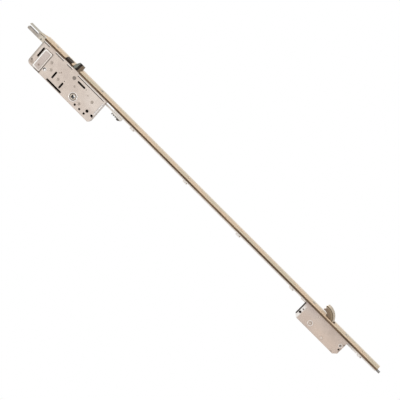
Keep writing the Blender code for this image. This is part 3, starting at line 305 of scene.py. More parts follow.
@dataclass(frozen=True)
class RailFinish(MetalFinish):
    """The rail's finish: satin on the face with a painted highlight towards the far bend, and painted shade
    on the folded legs and inside.
    """

    olive: Colour = (0.66, 0.565, 0.395)
    # cream is also the painted highlight towards the far bend; the legs' two colours are painted shade, the
    # second in pale clouds; inside is painted shade behind the face
    cream: Colour = (0.96, 0.87, 0.73)
    leg_shade: Colour = (0.1, 0.058, 0.028)
    leg_shade_worn: Colour = (0.19, 0.12, 0.068)
    inside: Colour = (0.36, 0.29, 0.21)
    tongue: Colour = (0.52, 0.48, 0.4)
    drifts: Clouds = Clouds(26, 0.44, 0.6, (1, 1, 0.55), 2)
    worn: Clouds = Clouds(38, 0.42, 0.66, (1, 1, 0.5))
    rubbed: Clouds = Clouds(160, 0.42, 0.6, (1, 1, 0.2))
    leg_side: float = 11.9 * MM
    face_back: float = -1.6 * MM
    far_bend: float = 11.0 * MM
    near_bend: Range = mm(-10.9, -11.6)
    bend_depth: Range = mm(-1.4, -0.6)
    tongue_foot: float = 133 * MM
    tongue_fade: float = 22 * MM

    def face(self, shader: Shader) -> Any:
        """Peach and olive drifts, a painted highlight that grows paler towards the far bend, and greyer on
        the tongue.
        """
        _, y, z = shader.place()
        face = shader.mix(self.drifts.over(shader) * 0.8, super().colours(shader), self.olive)
        # painted highlight: paler towards the far bend
        face = shader.mix(y.rise(0.0, self.far_bend) * 0.85, face, self.cream)
        upper = z.rise(self.tongue_foot, self.tongue_foot + self.tongue_fade)
        return shader.mix(upper, face, self.tongue)

    def colours(self, shader: Shader) -> Any:
        """The face, painted shade as dark brown legs and a dull inside, and a rubbed near bend."""
        x, y, z = shader.place()
        _, across, _ = shader.facing()
        sideways = across.size().rise(0.55, 0.9)
        outer = y.size().rise(self.leg_side - 0.4 * MM, self.leg_side)
        # painted shade: dark brown on the outer faces of the folded legs
        leg_shade = shader.mix(self.worn.over(shader), self.leg_shade, self.leg_shade_worn)
        tone = shader.mix(sideways * outer, self.face(shader), leg_shade)
        # painted shade: duller inside the channel, behind the face
        behind = x.rise(self.face_back, self.face_back - 0.3 * MM) * (1 - outer)
        behind = behind * z.rise(self.tongue_foot, self.tongue_foot - 2 * MM)
        tone = shader.mix(behind * 0.8, tone, self.inside)
        bend = y.rise(*self.near_bend) * (1 - sideways) * x.rise(*self.bend_depth)
        return shader.mix(bend * (0.15 + self.rubbed.over(shader) * 0.35), tone, self.cream)


@dataclass(frozen=True)
class CaseFinish(MetalFinish):
    """Bright plated sheet, with painted shade along its sheared edges, dark spots that are partly painted
    shade, and near-black painted shade inside.
    """

    # shade: the colour of the painted shade along the edges and in the dark spots, and of the scratches
    shade: Colour = (0.4, 0.33, 0.28)
    # near-black painted shade for the inside of the case
    interior_shade: Colour = (0.014, 0.01, 0.008)
    pale: Colour = (0.86, 0.77, 0.7)
    # the span along z that gets the painted shade inside
    interior_span: Range = mm(-58, 127)
    low: Point = mm(-73, -63.5)
    high: Point = mm(-6.4, 130.5)
    drifts: Clouds = Clouds(14, 0.45, 0.62, (1, 1, 0.45), 2)
    scratches: Clouds = Clouds(90, 0.66, 0.72, (9, 1, 0.6), 5)
    edges: tuple[Range, ...] = (mm(1.1, 0.1), mm(0.9, 0), mm(0.7, 0), mm(2.6, 0.6))
    marks: tuple[tuple[float, float, float, float], ...] = ()

    def inset(self, shader: Shader) -> tuple[Value, Value, Value, Value]:
        """How far the point lies in from the back, the foot, the front and the top."""
        x, _, z = shader.place()
        return x - self.low[0], z - self.low[1], self.high[0] - x, self.high[1] - z

    def plating(self, shader: Shader) -> Any:
        """Cloudy plating, paler in drifts, with painted shade in a narrow line along each edge of the case,
        and scratches.
        """
        base = super().colours(shader)
        base = shader.mix(self.drifts.over(shader) * 0.55, base, self.pale)
        back, foot, front, top = (d.rise(*edge) for d, edge in zip(self.inset(shader), self.edges))
        # painted shade along each edge
        rim = ((back + foot) + (front + top)).rise(0.0, 1.0)
        return shader.mix(rim * 0.5 + self.scratches.over(shader) * 0.09, base, self.shade)

    def marked(self, shader: Shader, base: Any) -> Any:
        """Soft dark spots, as (x, z, radius, strength), over base: painted shade for pressed dimples, holes
        and notches, and brown spots.
        """
        for across, up, radius, strength in self.marks:
            spot = shader.disc((across, up), radius * 0.5, radius * 0.7) * strength
            base = shader.mix(spot, base, self.shade)
        return base

    def colours(self, shader: Shader) -> Any:
        """Plating outside; near-black painted shade in the working length, wherever the sheet faces the
        case's middle.
        """
        x, y, z = shader.place()
        along_x, along_y, along_z = shader.facing()
        middle = (self.low[0] + self.high[0]) / 2, (self.low[1] + self.high[1]) / 2
        inward = (along_x * (middle[0] - x) + along_z * (middle[1] - z)).rise(*mm(0.5, 1.5))
        floor = along_y.rise(-0.5, -0.8) * y.rise(*mm(5.0, 6.0))
        base = self.marked(shader, self.plating(shader))
        # near-black painted shade inside the case
        working = z.band(*self.interior_span, 1.5 * MM)
        return shader.mix(inward.most(floor) * working, base, self.interior_shade)


@dataclass(frozen=True)
class CoverFinish(CaseFinish):
    """The plate on the near side: its slots and holes get near-black painted shade from just under the
    surface.
    """

    corners: tuple[float, float] = mm(6.0, 4.4)
    hidden: float = -7.72 * MM

    def colours(self, shader: Shader) -> Any:
        """Plating on the face and the outer edge; near-black painted shade on what lies deeper and away from
        the outline.
        """
        _, y, _ = shader.place()
        back, foot, front, top = self.inset(shader)
        inside = back.least(front).least(foot.least(top)).rise(*mm(0.5, 0.8))
        for corner, chamfer in zip((back + top, back + foot), self.corners):
            inside = inside * corner.rise(chamfer, chamfer + 0.4 * MM)
        deep = y.rise(self.hidden, self.hidden + 0.2 * MM)
        base = self.marked(shader, self.plating(shader))
        # painted shade inside the slots and holes
        return shader.mix(inside * deep, base, self.interior_shade)


@dataclass(frozen=True)
class TintedCoverFinish(CoverFinish):
    """A cover whose plating goes from peach at the back to a violet grey by the rail."""

    peach: Colour = (0.84, 0.665, 0.545)
    violet: Colour = (0.52, 0.43, 0.4)
    # lip is painted shadow along the top edge, and bright a painted highlight in a band under it
    lip: Colour = (0.075, 0.058, 0.046)
    bright: Colour = (0.96, 0.92, 0.88)
    highlight_band: Range = mm(3.0, 8.5)

    def plating(self, shader: Shader) -> Any:
        """Peach and violet clouds, each on its own side, a painted shadow as a dark top edge and a painted
        highlight as a bright band under it.
        """
        x, _, _ = shader.place()
        _, _, _, top = self.inset(shader)
        back, front = self.low[0], self.high[0]
        base = super().plating(shader)
        share = shader.noise(22, (1, 1, 0.5), 1) * 1.6 - 0.3
        peach = share.rise(0.35, 0.75) * x.rise(front - 10 * MM, back)
        base = shader.mix(peach * 0.75, base, self.peach)
        violet = share.rise(0.75, 0.3) * x.rise(back, front - 8 * MM)
        base = shader.mix(violet * 0.8, base, self.violet)
        # painted highlight: a bright band under the top edge
        top_highlight = top.band(*self.highlight_band, 2.5 * MM) * x.rise(front - 6 * MM, front - 16 * MM)
        base = shader.mix(top_highlight * 0.95, base, self.bright)
        # painted shadow: a dark line along the top edge
        lip = top.rise(*mm(2.7, 2.2)) * x.rise(front - 0.5 * MM, front - 4 * MM)
        return shader.mix(lip, base, self.lip)


@dataclass(frozen=True)
class PanelCoverFinish(CoverFinish):
    """The gear case's cover, with painted highlights and painted shade round its raised panel and along its
    seams.
    """

    # bright is a painted highlight; dim, line and the grey after them are painted shade and shadow
    bright: Colour = (0.95, 0.91, 0.87)
    dim: Colour = (0.56, 0.48, 0.445)
    line: Colour = (0.11, 0.078, 0.052)
    grey_shade: Colour = (0.4, 0.365, 0.315)
    panel_low: Point = mm(-69.7, 95)
    panel_high: Point = mm(-19.4, 115.5)
    seam_half: float = 0.8 * MM
    seam_light: Range = mm(1.2, 2.6)
    seams: tuple[tuple[float, float, float], ...] = (
        mm(-11.2, 112, 129),
        mm(-11.2, 68, 93),
        mm(-11.2, 41, 57),
        mm(-12.3, -58, 22),
    )

    def panel(self, shader: Shader, base: Any) -> Any:
        """Painted light by the distance d from the panel's outline: shade inside, a highlight at the rim, a
        shadow outside, stronger on the low side and at the left end.
        """
        x, _, z = shader.place()
        (left, low), (right, high) = self.panel_low, self.panel_high
        across = (x - (left + right) / 2).size() - (right - left) / 2
        upright = (z - (low + high) / 2).size() - (high - low) / 2
        d = across.most(upright)
        # painted shade inside the panel, painted highlight at its rim, painted shadow outside it and at its
        # left end, and grey painted shade inside its lower edge
        base = shader.mix(d.rise(*mm(-2.6, -3.2)) * 0.62, base, self.dim)
        base = shader.mix(d.band(*mm(-2.3, -0.5, 0.3)) * 0.8, base, self.bright)
        foot = 0.5 + (z.rise(low + 4 * MM, low) * 0.45).most(x.rise(left + 3 * MM, left) * 0.45)
        base = shader.mix(d.band(*mm(0.1, 1.3, 0.3)) * foot, base, self.line)
        end = x.rise(left + 0.1 * MM, left - 0.4 * MM) * z.band(low - 1 * MM, high - 7 * MM, 3 * MM)
        base = shader.mix(end * 0.85, base, self.line)
        inner = d.band(*mm(-4.3, -3.3, 0.4)) * z.rise(high - 6 * MM, low + 6 * MM)
        return shader.mix(inner * 0.5, base, self.grey_shade)

    def marked(self, shader: Shader, base: Any) -> Any:
        """A duller top edge as painted shade, the panel, then each seam as (x, start, end), as a painted
        shadow with a painted highlight line beside it.
        """
        x, _, z = shader.place()
        _, _, _, top = self.inset(shader)
        # painted shade: a duller top edge
        base = shader.mix(top.rise(*mm(4.6, 3.4)) * 0.55, base, self.grey_shade)
        base = self.panel(shader, base)
        for middle, start, end in self.seams:
            along = z.band(start, end, 1.5 * MM)
            near, far = (middle + edge for edge in self.seam_light)
            # painted highlight beside each seam, then painted shadow along its groove
            base = shader.mix(x.band(near, far, 0.4 * MM) * along * 0.75, base, self.bright)
            groove = x.band(middle - self.seam_half, middle + self.seam_half, 0.3 * MM)
            base = shader.mix(groove * along * 0.72, base, self.line)
        return super().marked(shader, base)


@dataclass(frozen=True)
class PanelRimFinish(MetalFinish):
    """The bead round the panel: a painted highlight along its top, and a little at its end by the rail."""

    bright: Colour = (0.99, 0.965, 0.93)
    top: Range = mm(103, 111)
    end: Range = mm(-27, -23)

    def colours(self, shader: Shader) -> Any:
        """A painted highlight, brightest at the top, and half as bright at the end."""
        x, _, z = shader.place()
        # painted highlight on the bead's top and, weaker, at its end by the rail
        rim_highlight = z.rise(*self.top).most(x.rise(*self.end) * 0.45)
        return shader.mix(rim_highlight, super().colours(shader), self.bright)


@dataclass(frozen=True)
class ZonedFinish(MetalFinish):
    """Plating that has another colour within reach of a plane across one axis."""

    # by default, zone is near-black painted shade for what lies inside a case
    zone: Colour = (0.05, 0.042, 0.035)
    axis: int = 1
    middle: float = 0.0
    reach: Range = mm(7.9, 7.6)

    def bare(self, shader: Shader) -> Any:
        """The colour outside the zone."""
        return super().colours(shader)

    def colours(self, shader: Shader) -> Any:
        """The zone's colour grows from 0 at the first distance of reach to 1 at the second."""
        distance = (shader.place()[self.axis] - self.middle).size()
        return shader.mix(distance.rise(*self.reach), self.bare(shader), self.zone)


@dataclass(frozen=True)
class HeadFinish(ZonedFinish):
    """A rivet or hub: its round face has another colour at its middle, or else all round that."""

    centre: Point = (0.0, 0.0)
    radius: float = 2.7 * MM
    soft: float = 0.4 * MM
    spot: Colour = (0.02, 0.015, 0.012)
    around: bool = False

    def bare(self, shader: Shader) -> Any:
        """The face, with its spot within the radius, or beyond it."""
        share = shader.disc(self.centre, self.radius, self.soft)
        return shader.mix(1 - share if self.around else share, super().bare(shader), self.spot)


@dataclass(frozen=True)
class CouplerFinish(MetalFinish):
    """The coupler: plated beside the rail, and near black on its serrated back."""

    back_dark: Colour = (0.105, 0.088, 0.072)
    back: Range = mm(-17.2, -18.4)
    ragged: float = 3.0 * MM

    def colours(self, shader: Shader) -> Any:
        """Near black on what lies further back than 17.2 mm, with a ragged edge."""
        x, _, _ = shader.place()
        uneven = x + (shader.noise(420) - 0.5) * self.ragged
        return shader.mix(uneven.rise(*self.back), super().colours(shader), self.back_dark)


@dataclass(frozen=True)
class HookFinish(MetalFinish):
    """Hardened steel: brown bands that follow the outer edge, and pale where its slope is ground."""

    flat: Colour = (0.24, 0.17, 0.11)
    olive: Colour = (0.33, 0.25, 0.16)
    violet: Colour = (0.225, 0.155, 0.14)
    dark: Colour = (0.165, 0.118, 0.076)
    centre: Point = mm(-9, -722)
    olive_radius: float = 21.3 * MM
    dark_radius: float = 25.4 * MM
    heated: Range = mm(-727, -715)

    def colours(self, shader: Shader) -> Any:
        """On the flat sides the colour goes by the distance from the outer arc's centre."""
        _, _, z = shader.place()
        _, across, _ = shader.facing()
        ground = super().colours(shader)
        stain = (shader.noise(220) - 0.5) * 0.5
        heat = (z.rise(*self.heated) + stain).rise(0.2, 0.9)
        side = shader.mix(heat, self.flat, self.violet)
        side = shader.mix(1 - shader.disc(self.centre, self.olive_radius, 2.5 * MM), side, self.olive)
        side = shader.mix(1 - shader.disc(self.centre, self.dark_radius, 1.0 * MM), side, self.dark)
        return shader.mix(across.size().rise(0.82, 0.95), ground, side)


@dataclass(frozen=True)
class ForkFinish(MetalFinish):
    """The fork: mottled plating, paler at its foot, and painted shade on the faces inside the slot."""

    foot: Colour = (0.64, 0.575, 0.48)
    slot: Colour = (0.13, 0.105, 0.085)
    shoulder: float = 150 * MM

    def colours(self, shader: Shader) -> Any:
        """Paler below the shoulder, and painted shade where the surface faces the slot."""
        _, _, z = shader.place()
        outward, _, _ = shader.facing()
        lower = z.rise(self.shoulder, self.shoulder - 8 * MM)
        tone = shader.mix(lower, super().colours(shader), self.foot)
        prong = z.rise(self.shoulder - 1 * MM, self.shoulder + 2 * MM)
        # painted shade on the prongs' faces that look along +X
        return shader.mix(outward.rise(0.5, 0.8) * prong * 0.85, tone, self.slot)


@dataclass(frozen=True)
class LatchFinish(MetalFinish):
    """Plated casting: greenish grey above its groove and, as painted shade and reflection, warmer and darker
    below, rubbed at the tip.
    """

    warm: Colour = (0.19, 0.138, 0.092)
    groove: Colour = (0.008, 0.005, 0.003)
    wear: Clouds = Clouds(400, 0.3, 0.6)
    rubbed_lightness: float = 1.7
    split: float = 35.5 * MM
    groove_low: float = 31.9 * MM
    groove_high: float = 37.0 * MM
    tip: Range = mm(7.0, 9.0)

    def colours(self, shader: Shader) -> Any:
        """Cool above the split, warm below as painted shade and reflection, brighter along the rubbed tip and
        black in the groove.
        """
        x, _, z = shader.place()
        cool = super().colours(shader)
        # painted shade and reflection: warmer and darker below the split
        tone = shader.mix(z.rise(self.split + 0.5 * MM, self.split - 0.5 * MM), cool, self.warm)
        rubbed = x.rise(*self.tip) * self.wear.over(shader)
        tone = shader.mix(rubbed * 0.6, tone, tuple(self.rubbed_lightness * c for c in self.colour))
        black_band = z.band(self.groove_low, self.groove_high, 0.4 * MM)
        return shader.mix(black_band, tone, self.groove)


@dataclass(frozen=True)
class PlasticFinish:
    """Moulded plastic with a fine spark-eroded grain."""

    name: str
    colour: Colour
    worn: Colour
    roughness: float = 0.42
    specular: float = 0.15
    grain_scale: float = 2600.0
    grain_depth: float = 0.04 * MM
    wear: Clouds = Clouds(260, 0.5, 0.75)

    def material(self) -> bpy.types.Material:
        """Build the material: a fine grain as relief, and slightly paler worn patches."""
        shader = Shader(self.name)
        shader.surface.inputs["Specular IOR Level"].default_value = self.specular
        grain = shader.noise(self.grain_scale, detail=2)
        worn = self.wear.over(shader)
        colour = shader.mix(worn * 0.6, self.colour, self.worn)
        return shader.finish(colour, self.roughness + worn * 0.18, 0.0, grain, self.grain_depth)


NONE, ACROSS = Grain.NONE, Grain.ACROSS
CASE_PLATING = ((0.735, 0.63, 0.55), (0.63, 0.53, 0.465), 0.32, 0.4)
HOOK_PLATING = ((0.655, 0.54, 0.465), (0.57, 0.465, 0.395), 0.33, 0.4)
HOOK_SHEET = {
    "interior_span": mm(-801, -681),
    "low": mm(-50.5, -804),
    "high": mm(-6.4, -678),
    "pale": (0.78, 0.67, 0.59),
}

RAIL = RailFinish("rail_bronze", (0.79, 0.598, 0.408), (0.745, 0.545, 0.355), 0.4, 0.35)
SHELL = CaseFinish("case_zinc", *CASE_PLATING)
COVER = PanelCoverFinish(
    "cover_zinc",
    *CASE_PLATING,
    shade=(0.33, 0.262, 0.212),
    # marks: painted shade for pressed dimples and rings, and brown spots
    marks=(
        (*mm(-64.5, 122.5, 5.0), 0.75),
        (*mm(-58.0, 105.0, 2.8), 1.00),
        (*mm(-28.6, -23.7, 1.5), 0.75),
        (*mm(-21.8, -12.4, 1.4), 0.85),
        (*mm(-21.8, 25.0, 4.6), 0.15),
        (*mm(-38.0, 58.0, 1.5), 1.00),
        (*mm(-34.5, 55.0, 1.7), 0.95),
    ),
)
HOOK_SHELL = CaseFinish("hook_case_zinc", *HOOK_PLATING, **HOOK_SHEET)
HOOK_COVER = TintedCoverFinish(
    "hook_cover_zinc",
    *HOOK_PLATING,
    **HOOK_SHEET,
    shade=(0.27, 0.21, 0.17),
    corners=mm(8.6, 8.6),
    # marks: painted shade for the notches and holes along the foot, and dark blotches
    marks=(
        (*mm(-18.4, -802.6, 2.4), 1.0),
        (*mm(-29.0, -802.5, 1.8), 0.8),
        (*mm(-38.0, -802.5, 1.8), 0.6),
        (*mm(-42.5, -756.0, 5.0), 0.25),
        (*mm(-49.5, -790.0, 3.0), 0.5),
    ),
)
ROD = ZonedFinish(
    "rod_zinc", (0.92, 0.87, 0.82), (0.8, 0.74, 0.68), 0.34, 0.25,
    zone=(0.255, 0.235, 0.215), axis=2, middle=-900 * MM, reach=mm(15, 12),
)
# painted shade: near black where the rack lies inside the gear case
RACK = ZonedFinish(
    "rack_zinc", (0.88, 0.83, 0.77), (0.72, 0.66, 0.6), 0.36, 0.3, axis=2, middle=24 * MM, reach=mm(87, 84)
)
FORK = ForkFinish("fork_zinc", (0.46, 0.41, 0.36), (0.3, 0.265, 0.23), 0.34, 0.45, clouds=190)
COUPLER = CouplerFinish("coupler_steel", (0.9, 0.85, 0.79), (0.7, 0.64, 0.57), 0.38, 0.3, clouds=300)
STEEL = MetalFinish("dull_steel", (0.16, 0.145, 0.13), (0.095, 0.085, 0.076), 0.42, 0.5, clouds=220)
# painted shade: near-black steel for the nuts and the spring guide inside the cases
INNER_SHADE_STEEL = MetalFinish(
    "inner_shade_steel", (0.05, 0.043, 0.036), (0.03, 0.026, 0.022), 0.45, 0.2, clouds=220, specular=0.15
)
SOCKET = MetalFinish("screw_head", (0.5, 0.44, 0.37), (0.38, 0.325, 0.27), 0.32, 0.5, clouds=140)
CLIP = MetalFinish("clip_zinc", (0.98, 0.95, 0.91), (0.9, 0.85, 0.79), 0.45, 0.1, clouds=180)
GEAR = MetalFinish("gear_steel", (0.1, 0.088, 0.075), (0.06, 0.052, 0.044), 0.35, 0.6, ACROSS, clouds=160)
# RIVET and FLUSH: near-black painted shade on the shanks between the case's plates
RIVET = ZonedFinish("rivet_zinc", (0.5, 0.425, 0.365), (0.4, 0.335, 0.285), 0.34, 0.4, NONE, clouds=300)
FLUSH = ZonedFinish("rivet_flush", (0.8, 0.68, 0.59), (0.72, 0.6, 0.515), 0.34, 0.4, NONE, clouds=300)
BOSS = HeadFinish(
    "rivet_ringed", (0.74, 0.64, 0.56), (0.62, 0.53, 0.46), 0.34, 0.4, NONE, clouds=400,
    centre=mm(-37, -717), radius=2.2 * MM, soft=0.7 * MM, spot=(0.33, 0.25, 0.195), around=True,
)
# painted shadow: a black disc on the post's head stands in for a hole
HOLE = HeadFinish(
    "rivet_hole_shadow", (0.9, 0.84, 0.78), (0.8, 0.73, 0.67), 0.6, 0.1, NONE, clouds=400, specular=0.1,
    centre=mm(-34.5, -684.5),
)
FOLLOWER = HeadFinish(
    "follower_zinc", (0.72, 0.63, 0.53), (0.54, 0.46, 0.38), 0.3, 0.4, NONE, clouds=260,
    # painted shade: near black on the hub between the case's plates
    zone=(0.03, 0.023, 0.018), reach=mm(8.35, 8.15),
    centre=mm(-55, 0), radius=6.6 * MM, spot=(0.15, 0.108, 0.072), around=True,
)
RIM = MetalFinish("pressed_rim", (0.93, 0.89, 0.86), (0.84, 0.78, 0.74), 0.25, 0.4, NONE, clouds=200)
# painted shade: a dark bead round the cover's slots and holes that widens their shadow
SLOT_SHADE = MetalFinish(
    "slot_edge_shade", (0.095, 0.078, 0.064), (0.17, 0.14, 0.118), 0.5, 0.1, NONE, clouds=200, specular=0.1
)
PANEL_RIM = PanelRimFinish("panel_rim", (0.8, 0.72, 0.66), (0.72, 0.64, 0.58), 0.28, 0.4, NONE, clouds=200)
EYELET = MetalFinish("eyelet_brown", (0.36, 0.29, 0.235), (0.22, 0.17, 0.135), 0.4, 0.3, NONE, clouds=500)
SPRING = MetalFinish("spring_wire", (0.16, 0.155, 0.15), (0.09, 0.088, 0.085), 0.25, 0.8, NONE)
HOOK = HookFinish("hook_steel", (0.66, 0.56, 0.44), (0.54, 0.45, 0.34), 0.36, 0.4, NONE, clouds=150)
LATCH = LatchFinish(
    "latch_nickel", (0.235, 0.246, 0.212), (0.15, 0.158, 0.134), 0.4, 0.1, NONE, clouds=200, specular=0.15
)
BLACK = PlasticFinish("black_plastic", (0.034, 0.021, 0.012), (0.06, 0.04, 0.026))


# Surfaces


@dataclass
class Surface:
    """A closed surface: its points and its four-sided faces."""

    points: np.ndarray
    faces: np.ndarray

    def volume(self) -> float:
        """Six times the volume, the sum of a . (b x c) over triangles: positive if faces point outwards."""
        a, b, c, d = (self.points[self.faces[:, i]] for i in range(4))
        first = np.einsum("ij,ij->i", a, np.cross(b, c))
        return float((first + np.einsum("ij,ij->i", a, np.cross(c, d))).sum())

    def outward(self) -> "Surface":
        """Turn the faces over if they point inwards."""
        return self if self.volume() > 0 else Surface(self.points, self.faces[:, ::-1])


def quads(rows: int, columns: int, closed: tuple[bool, bool] = (True, True)) -> np.ndarray:
    """The four-sided faces of a grid of points, counted row by row.

    Args:
        rows: how many rows the grid has.
        columns: how many points each row has.
        closed: whether the last row joins the first, and the last column the first.

    Returns:
        An (n, 4) array of point numbers.
    """
    counts = (np.arange(count - (not joined)) for count, joined in zip((rows, columns), closed))
    i, j = np.meshgrid(*counts, indexing="ij")
    steps = ((0, 0), (1, 0), (1, 1), (0, 1))
    corners = [((i + a) % rows) * columns + (j + b) % columns for a, b in steps]
    return np.stack(corners, -1).reshape(-1, 4)


def turn(count: int) -> np.ndarray:
    """Count equal angles round a full turn, from 0."""
    return np.arange(count) * 2 * math.pi / count


def arc(t: np.ndarray) -> np.ndarray:
    """Points (cos t, sin t) on the unit circle."""
    return np.stack([np.cos(t), np.sin(t)], -1)


def swept_loop(path: np.ndarray, outward: np.ndarray, proud: np.ndarray, profile: np.ndarray) -> Surface:
    """Carry a closed profile round a closed path: point(i, j) = path_i + a_j outward_i + b_j proud.

    Args:
        path: (n, 3) points of the closed path.
        outward: (n, 3) unit vectors in the path's plane, away from its inside.
        proud: (3,) unit vector out of the plane.
        profile: (m, 2) closed profile, as (a, b).

    Returns:
        A ring-shaped surface.
    """
    across = profile[None, :, 0, None] * outward[:, None, :]
    points = path[:, None, :] + across + profile[None, :, 1, None] * proud[None, None, :]
    return Surface(points.reshape(-1, 3), quads(len(path), len(profile))).outward()


def bead(width: float, height: float, count: int = 8) -> np.ndarray:
    """A flattened round profile: a = width/2 cos t, b = height sin t; its lower half is sunk."""
    return arc(turn(count)) * np.array([width / 2, height])


def slot_loop(start: Point, end: Point, width: float, count: int = 8) -> np.ndarray:
    """The outline of a round-ended slot between two end points: a half circle about each end's centre."""
    first, last = np.array(start), np.array(end)
    span = last - first
    length = float(np.hypot(*span))
    along = span / length
    reach = min(width, length) / 2
    heading = math.atan2(along[1], along[0])
    t = np.linspace(-math.pi / 2, math.pi / 2, count)
    ends = ((last - along * reach, heading), (first + along * reach, heading + math.pi))
    return np.concatenate([centre + width / 2 * arc(start + t) for centre, start in ends])


def round_loop(centre: Point, diameter: float, count: int = 28) -> np.ndarray:
    """A circle as count points: centre + d/2 (cos t, sin t)."""
    return np.array(centre) + diameter / 2 * arc(turn(count))


def rim_on_side(loop: np.ndarray, height: float, side: float, profile: np.ndarray) -> Surface:
    """Lay a profile round a loop on one of the lock's flat sides.

    Args:
        loop: (n, 2) points (x, z), anticlockwise.
        height: the side's y.
        side: -1 for the near side, 1 for the far side.
        profile: the closed profile.

    Returns:
        The rim's surface.
    """
    tangent = np.roll(loop, -1, 0) - np.roll(loop, 1, 0)
    tangent /= np.linalg.norm(tangent, axis=1, keepdims=True)
    outward = np.stack([tangent[:, 1], np.zeros(len(loop)), -tangent[:, 0]], -1)
    path = np.stack([loop[:, 0], np.full(len(loop), height), loop[:, 1]], -1)
    return swept_loop(path, outward, np.array([0.0, side, 0.0]), profile)


@dataclass(frozen=True)
class Ring:
    """A round bead laid on a case's near side, or depth under it."""

    centre: Point
    diameter: float
    width: float
    height: float
    depth: float = 0.0
    count: int = 28

    def surface(self) -> Surface:
        """The bead in its place."""
        loop = round_loop(self.centre, self.diameter, self.count)
        return rim_on_side(loop, -CASE_SIDE + self.depth, -1, bead(self.width, self.height))


def coil(spring: "Spring", steps: int = 24, sides: int = 8) -> Surface:
    """A wire wound about an axis along X: centre(t) = (a + b t, y + R cos t, z + R sin t).

    Args:
        spring: the spring's sizes.
        steps: how many rings go to one turn.
        sides: how many points go round the wire.

    Returns:
        The coil's surface.
    """
    t = np.linspace(0, 2 * math.pi * spring.turns, spring.turns * steps + 1)
    clear = spring.wire / 2 + spring.gap
    rate = (spring.end - spring.seat - 2 * clear) / t[-1]
    radial = np.stack([np.zeros_like(t), np.cos(t), np.sin(t)], -1)
    centre = radial * spring.radius + np.array([0.0, *spring.axis])
    centre[:, 0] = spring.seat + clear + rate * t
    tangent = np.stack([np.full_like(t, rate), -spring.radius * np.sin(t), spring.radius * np.cos(t)], -1)
    side = np.cross(tangent / np.linalg.norm(tangent, axis=1, keepdims=True), radial)
    a = turn(sides)
    across = np.cos(a)[None, :, None] * radial[:, None, :] + np.sin(a)[None, :, None] * side[:, None, :]
    points = (centre[:, None, :] + spring.wire / 2 * across).reshape(-1, 3)
    walls = quads(len(t), sides, (False, True))
    cap = np.array([(0, k, k + 1, k + 2) for k in range(1, sides - 2, 2)])
    last = (len(t) - 1) * sides
    return Surface(points, np.concatenate([walls, cap, last + cap[:, ::-1]])).outward()


@dataclass(frozen=True)
class Socket:
    """A countersunk screw's thin face with a six-lobed hole."""

    head: float = 3.86 * MM
    hole: float = 1.25 * MM
    lobe: float = 0.14
    lobes: int = 6
    top: float = -0.16 * MM
    thickness: float = 0.5 * MM
    count: int = 48

    def surface(self, z: float) -> Surface:
        """The face of the screw at height z: inner radius hole (1 + lobe cos 6t), outer radius head."""
        t = turn(self.count)
        inner = self.hole * (1 + self.lobe * np.cos(self.lobes * t))
        outer = np.full(self.count, self.head)
        deep = self.top - self.thickness
        radii = np.stack([outer, outer, inner, inner], -1)
        xs = np.broadcast_to(np.array([deep, self.top, self.top, deep]), radii.shape)
        ys = radii * np.cos(t)[:, None]
        zs = z + radii * np.sin(t)[:, None]
        return Surface(np.stack([xs, ys, zs], -1).reshape(-1, 3), quads(self.count, 4)).outward()


def placed(name: str, data: Any) -> bpy.types.Object:
    """A new object in the scene, at the origin."""
    obj = bpy.data.objects.new(name, data)
    bpy.context.scene.collection.objects.link(obj)
    return obj


def meshed(name: str, points: np.ndarray, faces: np.ndarray, material: bpy.types.Material) -> bpy.types.Mesh:
    """A new mesh with one material."""
    mesh = bpy.data.meshes.new(name)
    mesh.from_pydata(points.tolist(), [], faces.tolist())
    mesh.materials.append(material)
    return mesh


def piece(name: str, surfaces: Sequence[Surface], finish: Any, body: str) -> bpy.types.Object:
    """Make one object of several surfaces and let it ride.

    Args:
        name: the piece's name.
        surfaces: closed surfaces.
        finish: its finish.
        body: the CAD body that carries it.

    Returns:
        The new object, at the origin.
    """
    starts = np.cumsum([0] + [len(s.points) for s in surfaces[:-1]])
    points = np.concatenate([s.points for s in surfaces])
    faces = np.concatenate([s.faces + start for s, start in zip(surfaces, starts)])
    mesh = meshed(name, points, faces, finish.material())
    mesh.shade_smooth()
    mesh.set_sharp_from_angle(angle=math.radians(40))
    obj = placed(name, mesh)
    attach(obj, body)
    LOG.info("made %s", name)
    return obj


def dress(nodes: Sequence[str], finish: Any) -> None:
    """Give CAD nodes one finish."""
    material = finish.material()
    for name in nodes:
        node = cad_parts[name]
        for slot in node.material_slots:
            slot.material = material
        LOG.info("dressed %s", name)


def numbered(stem: str, count: int) -> list[str]:
    """The names stem_1 to stem_count."""
    return [f"{stem}_{i + 1}" for i in range(count)]


# Sub-assemblies


@dataclass
class RailAssembly:
    """The folded rail with its screws."""

    socket: Socket = Socket()
    screws: tuple[tuple[str, float], ...] = (
        ("gearbox_screw_1", 100 * MM),
        ("gearbox_screw_2", -40 * MM),
        ("hook_case_screw_1", -692 * MM),
        ("hook_case_screw_2", -790 * MM),
    )

    def build(self) -> None:
        """Dress the rail and give each screw its socket face."""
        dress(["faceplate_rail"], RAIL)
        dress([name for name, _ in self.screws], STEEL)
        faces = [self.socket.surface(z) for _, z in self.screws]
        piece("screw_sockets", faces, SOCKET, "housing")


